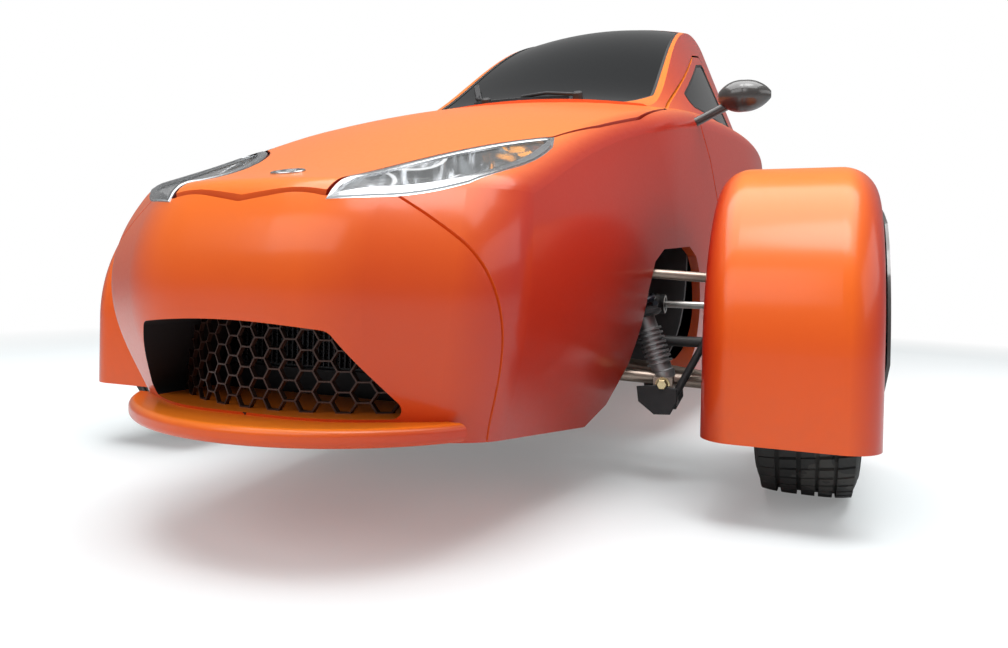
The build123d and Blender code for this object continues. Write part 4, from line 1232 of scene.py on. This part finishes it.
bpy.ops.object.select_all(action="DESELECT")
for node, seatY in seatPads["seats"]:
    cushion = softPad(node + "_cushion", padForm(seatPads["cushion"], seatY, seatPads["half"]), "chassis", "seatCloth")
    softPad(node + "_back", padForm(seatPads["back"], seatY, seatPads["half"]), "chassis", "seatCloth")
    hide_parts(node)
    shell = [
        Vector((side * seatPads["shellHalf"], frontAxleY + seatY + y, z))
        for side in (-1, 1) for y, z in seatPads["shell"]
    ]
    makePiece(node + "_shell", shell, capped(2, len(seatPads["shell"])), "lining", "chassis", 30)
print("seats made")


# Dials on the dashboard and rings round the tail lamps

dials = {
    "across": (-75, 75), "behind": 900, "height": 724,
    "profile": (
        (-0.004, 0.0001), (-0.004, 0.052), (0.016, 0.050), (0.016, 0.045), (0.004, 0.043), (0.0035, 0.012),
        (0.006, 0.010), (0.006, 0.0001),
    ),
}
dialParts = []
for x in dials["across"]:
    start = fromAxle(x, dials["behind"], dials["height"])
    dialParts.append(lathe(dials["profile"], *onSurface("dashboard", start, start + Vector((0, -0.2, 0))), 40))
makePiece("dash_dials", *joined(dialParts), "trim", "chassis", 30)

tailRing = {
    "place": (66, 3215, 620),
    "profile": (
        (-0.002, 0.0345), (-0.002, 0.042), (0.005, 0.042), (0.0085, 0.038), (0.0085, 0.0345), (-0.002, 0.0345),
    ),
}
x, y, z = tailRing["place"]
tailRings = [lathe(tailRing["profile"], fromAxle(side * x, y, z), (0, 1, 0), 48) for side in (-1, 1)]
makePiece("tail_lamp_rings", *joined(tailRings), "bezel", "chassis", 30)

# Louvres in the outlet above the tail, on a dark plate
tailVent = {
    "y": 3188, "low": 0.812, "high": 0.866, "foot": 0.148, "lean": 0.95, "slats": 5, "deep": 20, "drop": -6,
    "thick": 2.6, "plate": ((148, 800), (86, 862), (0, 872), (-86, 862), (-148, 800)),
}


def tailVentPart():
    spec = tailVent
    parts = []
    for index in range(spec["slats"]):
        z = spec["low"] + (spec["high"] - spec["low"]) * (index + 0.5) / spec["slats"]
        half = (spec["foot"] - (z - 0.790) * spec["lean"]) * 1000
        parts.append(([
            fromAxle(x, spec["y"] - 12 + back, z * 1000 + rise + thick)
            for x in (-half, half) for back, rise in ((0, 0), (spec["deep"], spec["drop"]))
            for thick in (0, spec["thick"])
        ], boxFaces))
    plate = [fromAxle(x, y, z) for y in (spec["y"] - 16, spec["y"] - 13) for x, z in spec["plate"]]
    parts.append((plate, capped(2, 5)))
    return joined(parts)


makePiece("tail_vent", *tailVentPart(), "trim", "chassis", 30, False)
print("small trim made")


# Floor, light and camera

floorLook = {"low": (0.60, 0.64, 0.65), "high": (0.64, 0.68, 0.69), "fadeFrom": 2.7, "fadeTo": 3.9, "lift": 0.22}


def floorFinish():
    look = floorLook
    made = Finish("studioFloor")
    reach = made.vector("LENGTH", made.place(), out=1)
    far = made.ramp(reach, look["fadeFrom"], look["fadeTo"], 0.0, 1.0)
    seen = made.node("ShaderNodeLightPath", out="Is Camera Ray")
    base = made.mix(made.noise(1.4, 3), look["low"], look["high"])
    mat = made.node("ShaderNodeBsdfDiffuse", sockets={"Color": base})
    glow, lift = (
        made.node("ShaderNodeEmission", sockets={"Color": (1, 1, 1, 1), "Strength": strength})
        for strength in (1.0, seen * look["lift"])
    )
    near = made.node("ShaderNodeAddShader", sockets={0: mat, 1: lift})
    whole = made.node("ShaderNodeMixShader", sockets={0: far * seen, 1: near, 2: glow})
    made.node("ShaderNodeOutputMaterial", sockets={"Surface": whole})
    return made.material


def makeFloor():
    mesh = bpy.data.meshes.new("studioFloor")
    reach = 60
    corners = [(-reach, -reach, 0), (reach, -reach, 0), (reach, reach, 0), (-reach, reach, 0)]
    mesh.from_pydata(corners, [], [(0, 1, 2, 3)])
    mesh.materials.append(floorFinish())
    floor = bpy.data.objects.new("studioFloor", mesh)
    floor.location.z = -0.0005
    bpy.context.scene.collection.objects.link(floor)


lightPlan = {
    "world": 0.30,
    # name, place, aim, size, watts
    "areas": (
        ("overhead", (0.2, -1.2, 3.4), (0, -0.6, 0.4), (4.2, 3.4), 170),
        ("front", (-1.2, -5.4, 3.4), (0, -1.4, 0.5), (4.2, 2.2), 70),
        ("leftSide", (4.4, -1.2, 2.2), (0.6, -0.8, 0.5), (4.4, 1.8), 40),
    ),
    "sun": {"turn": (0.30, 0.12, 0), "strength": 0.8, "angle": 0.42},
}


def makeLights():
    world = bpy.data.worlds.new("studioWorld")
    bpy.context.scene.world = world
    world.use_nodes = True
    tree = world.node_tree
    tree.nodes.clear()
    path = tree.nodes.new("ShaderNodeLightPath")
    shown = Wire(tree, path.outputs["Is Camera Ray"])
    strength = shown * (1 - lightPlan["world"]) + lightPlan["world"]
    back = tree.nodes.new("ShaderNodeBackground")
    back.inputs["Color"].default_value = (1, 1, 1, 1)
    tree.links.new(strength.socket, back.inputs["Strength"])
    out = tree.nodes.new("ShaderNodeOutputWorld")
    tree.links.new(back.outputs[0], out.inputs[0])
    for name, place, aim, size, watts in lightPlan["areas"]:
        data = bpy.data.lights.new(name, "AREA")
        data.shape = "RECTANGLE"
        data.size, data.size_y = size
        data.energy = watts
        lampObject = bpy.data.objects.new(name, data)
        lampObject.matrix_world = Matrix.Translation(place) @ turnTo(Vector(place) - Vector(aim)).to_4x4()
        bpy.context.scene.collection.objects.link(lampObject)
    data = bpy.data.lights.new("sky", "SUN")
    data.energy = lightPlan["sun"]["strength"]
    data.angle = lightPlan["sun"]["angle"]
    sky = bpy.data.objects.new("sky", data)
    sky.rotation_euler = lightPlan["sun"]["turn"]
    bpy.context.scene.collection.objects.link(sky)


cameraPlan = {
    "place": fromAxle(735, -1642, 416), "yaw": 22.02, "pitch": -0.65, "roll": 1.21, "lens": 27.564, "shiftY": -0.0407,
}


def makeCamera():
    plan = cameraPlan
    yaw, pitch, roll = (math.radians(plan[key]) for key in ("yaw", "pitch", "roll"))
    ahead = Vector((-math.sin(yaw) * math.cos(pitch), math.cos(yaw) * math.cos(pitch), math.sin(pitch)))
    right = Vector((math.cos(yaw), math.sin(yaw), 0))
    up = right.cross(ahead)
    turnedRight = right * math.cos(roll) + up * math.sin(roll)
    turnedUp = up * math.cos(roll) - right * math.sin(roll)
    data = bpy.data.cameras.new("photoCamera")
    data.lens = plan["lens"]
    data.sensor_width = 36
    data.sensor_fit = "HORIZONTAL"
    data.shift_y = plan["shiftY"]
    data.clip_end = 200
    camera = bpy.data.objects.new("photoCamera", data)
    turn = Matrix((turnedRight, turnedUp, -ahead)).transposed().to_4x4()
    camera.matrix_world = Matrix.Translation(plan["place"]) @ turn
    bpy.context.scene.collection.objects.link(camera)
    bpy.context.scene.camera = camera


makeFloor()
makeLights()
makeCamera()
bpy.context.scene.view_settings.view_transform = "Standard"
print("studio ready")
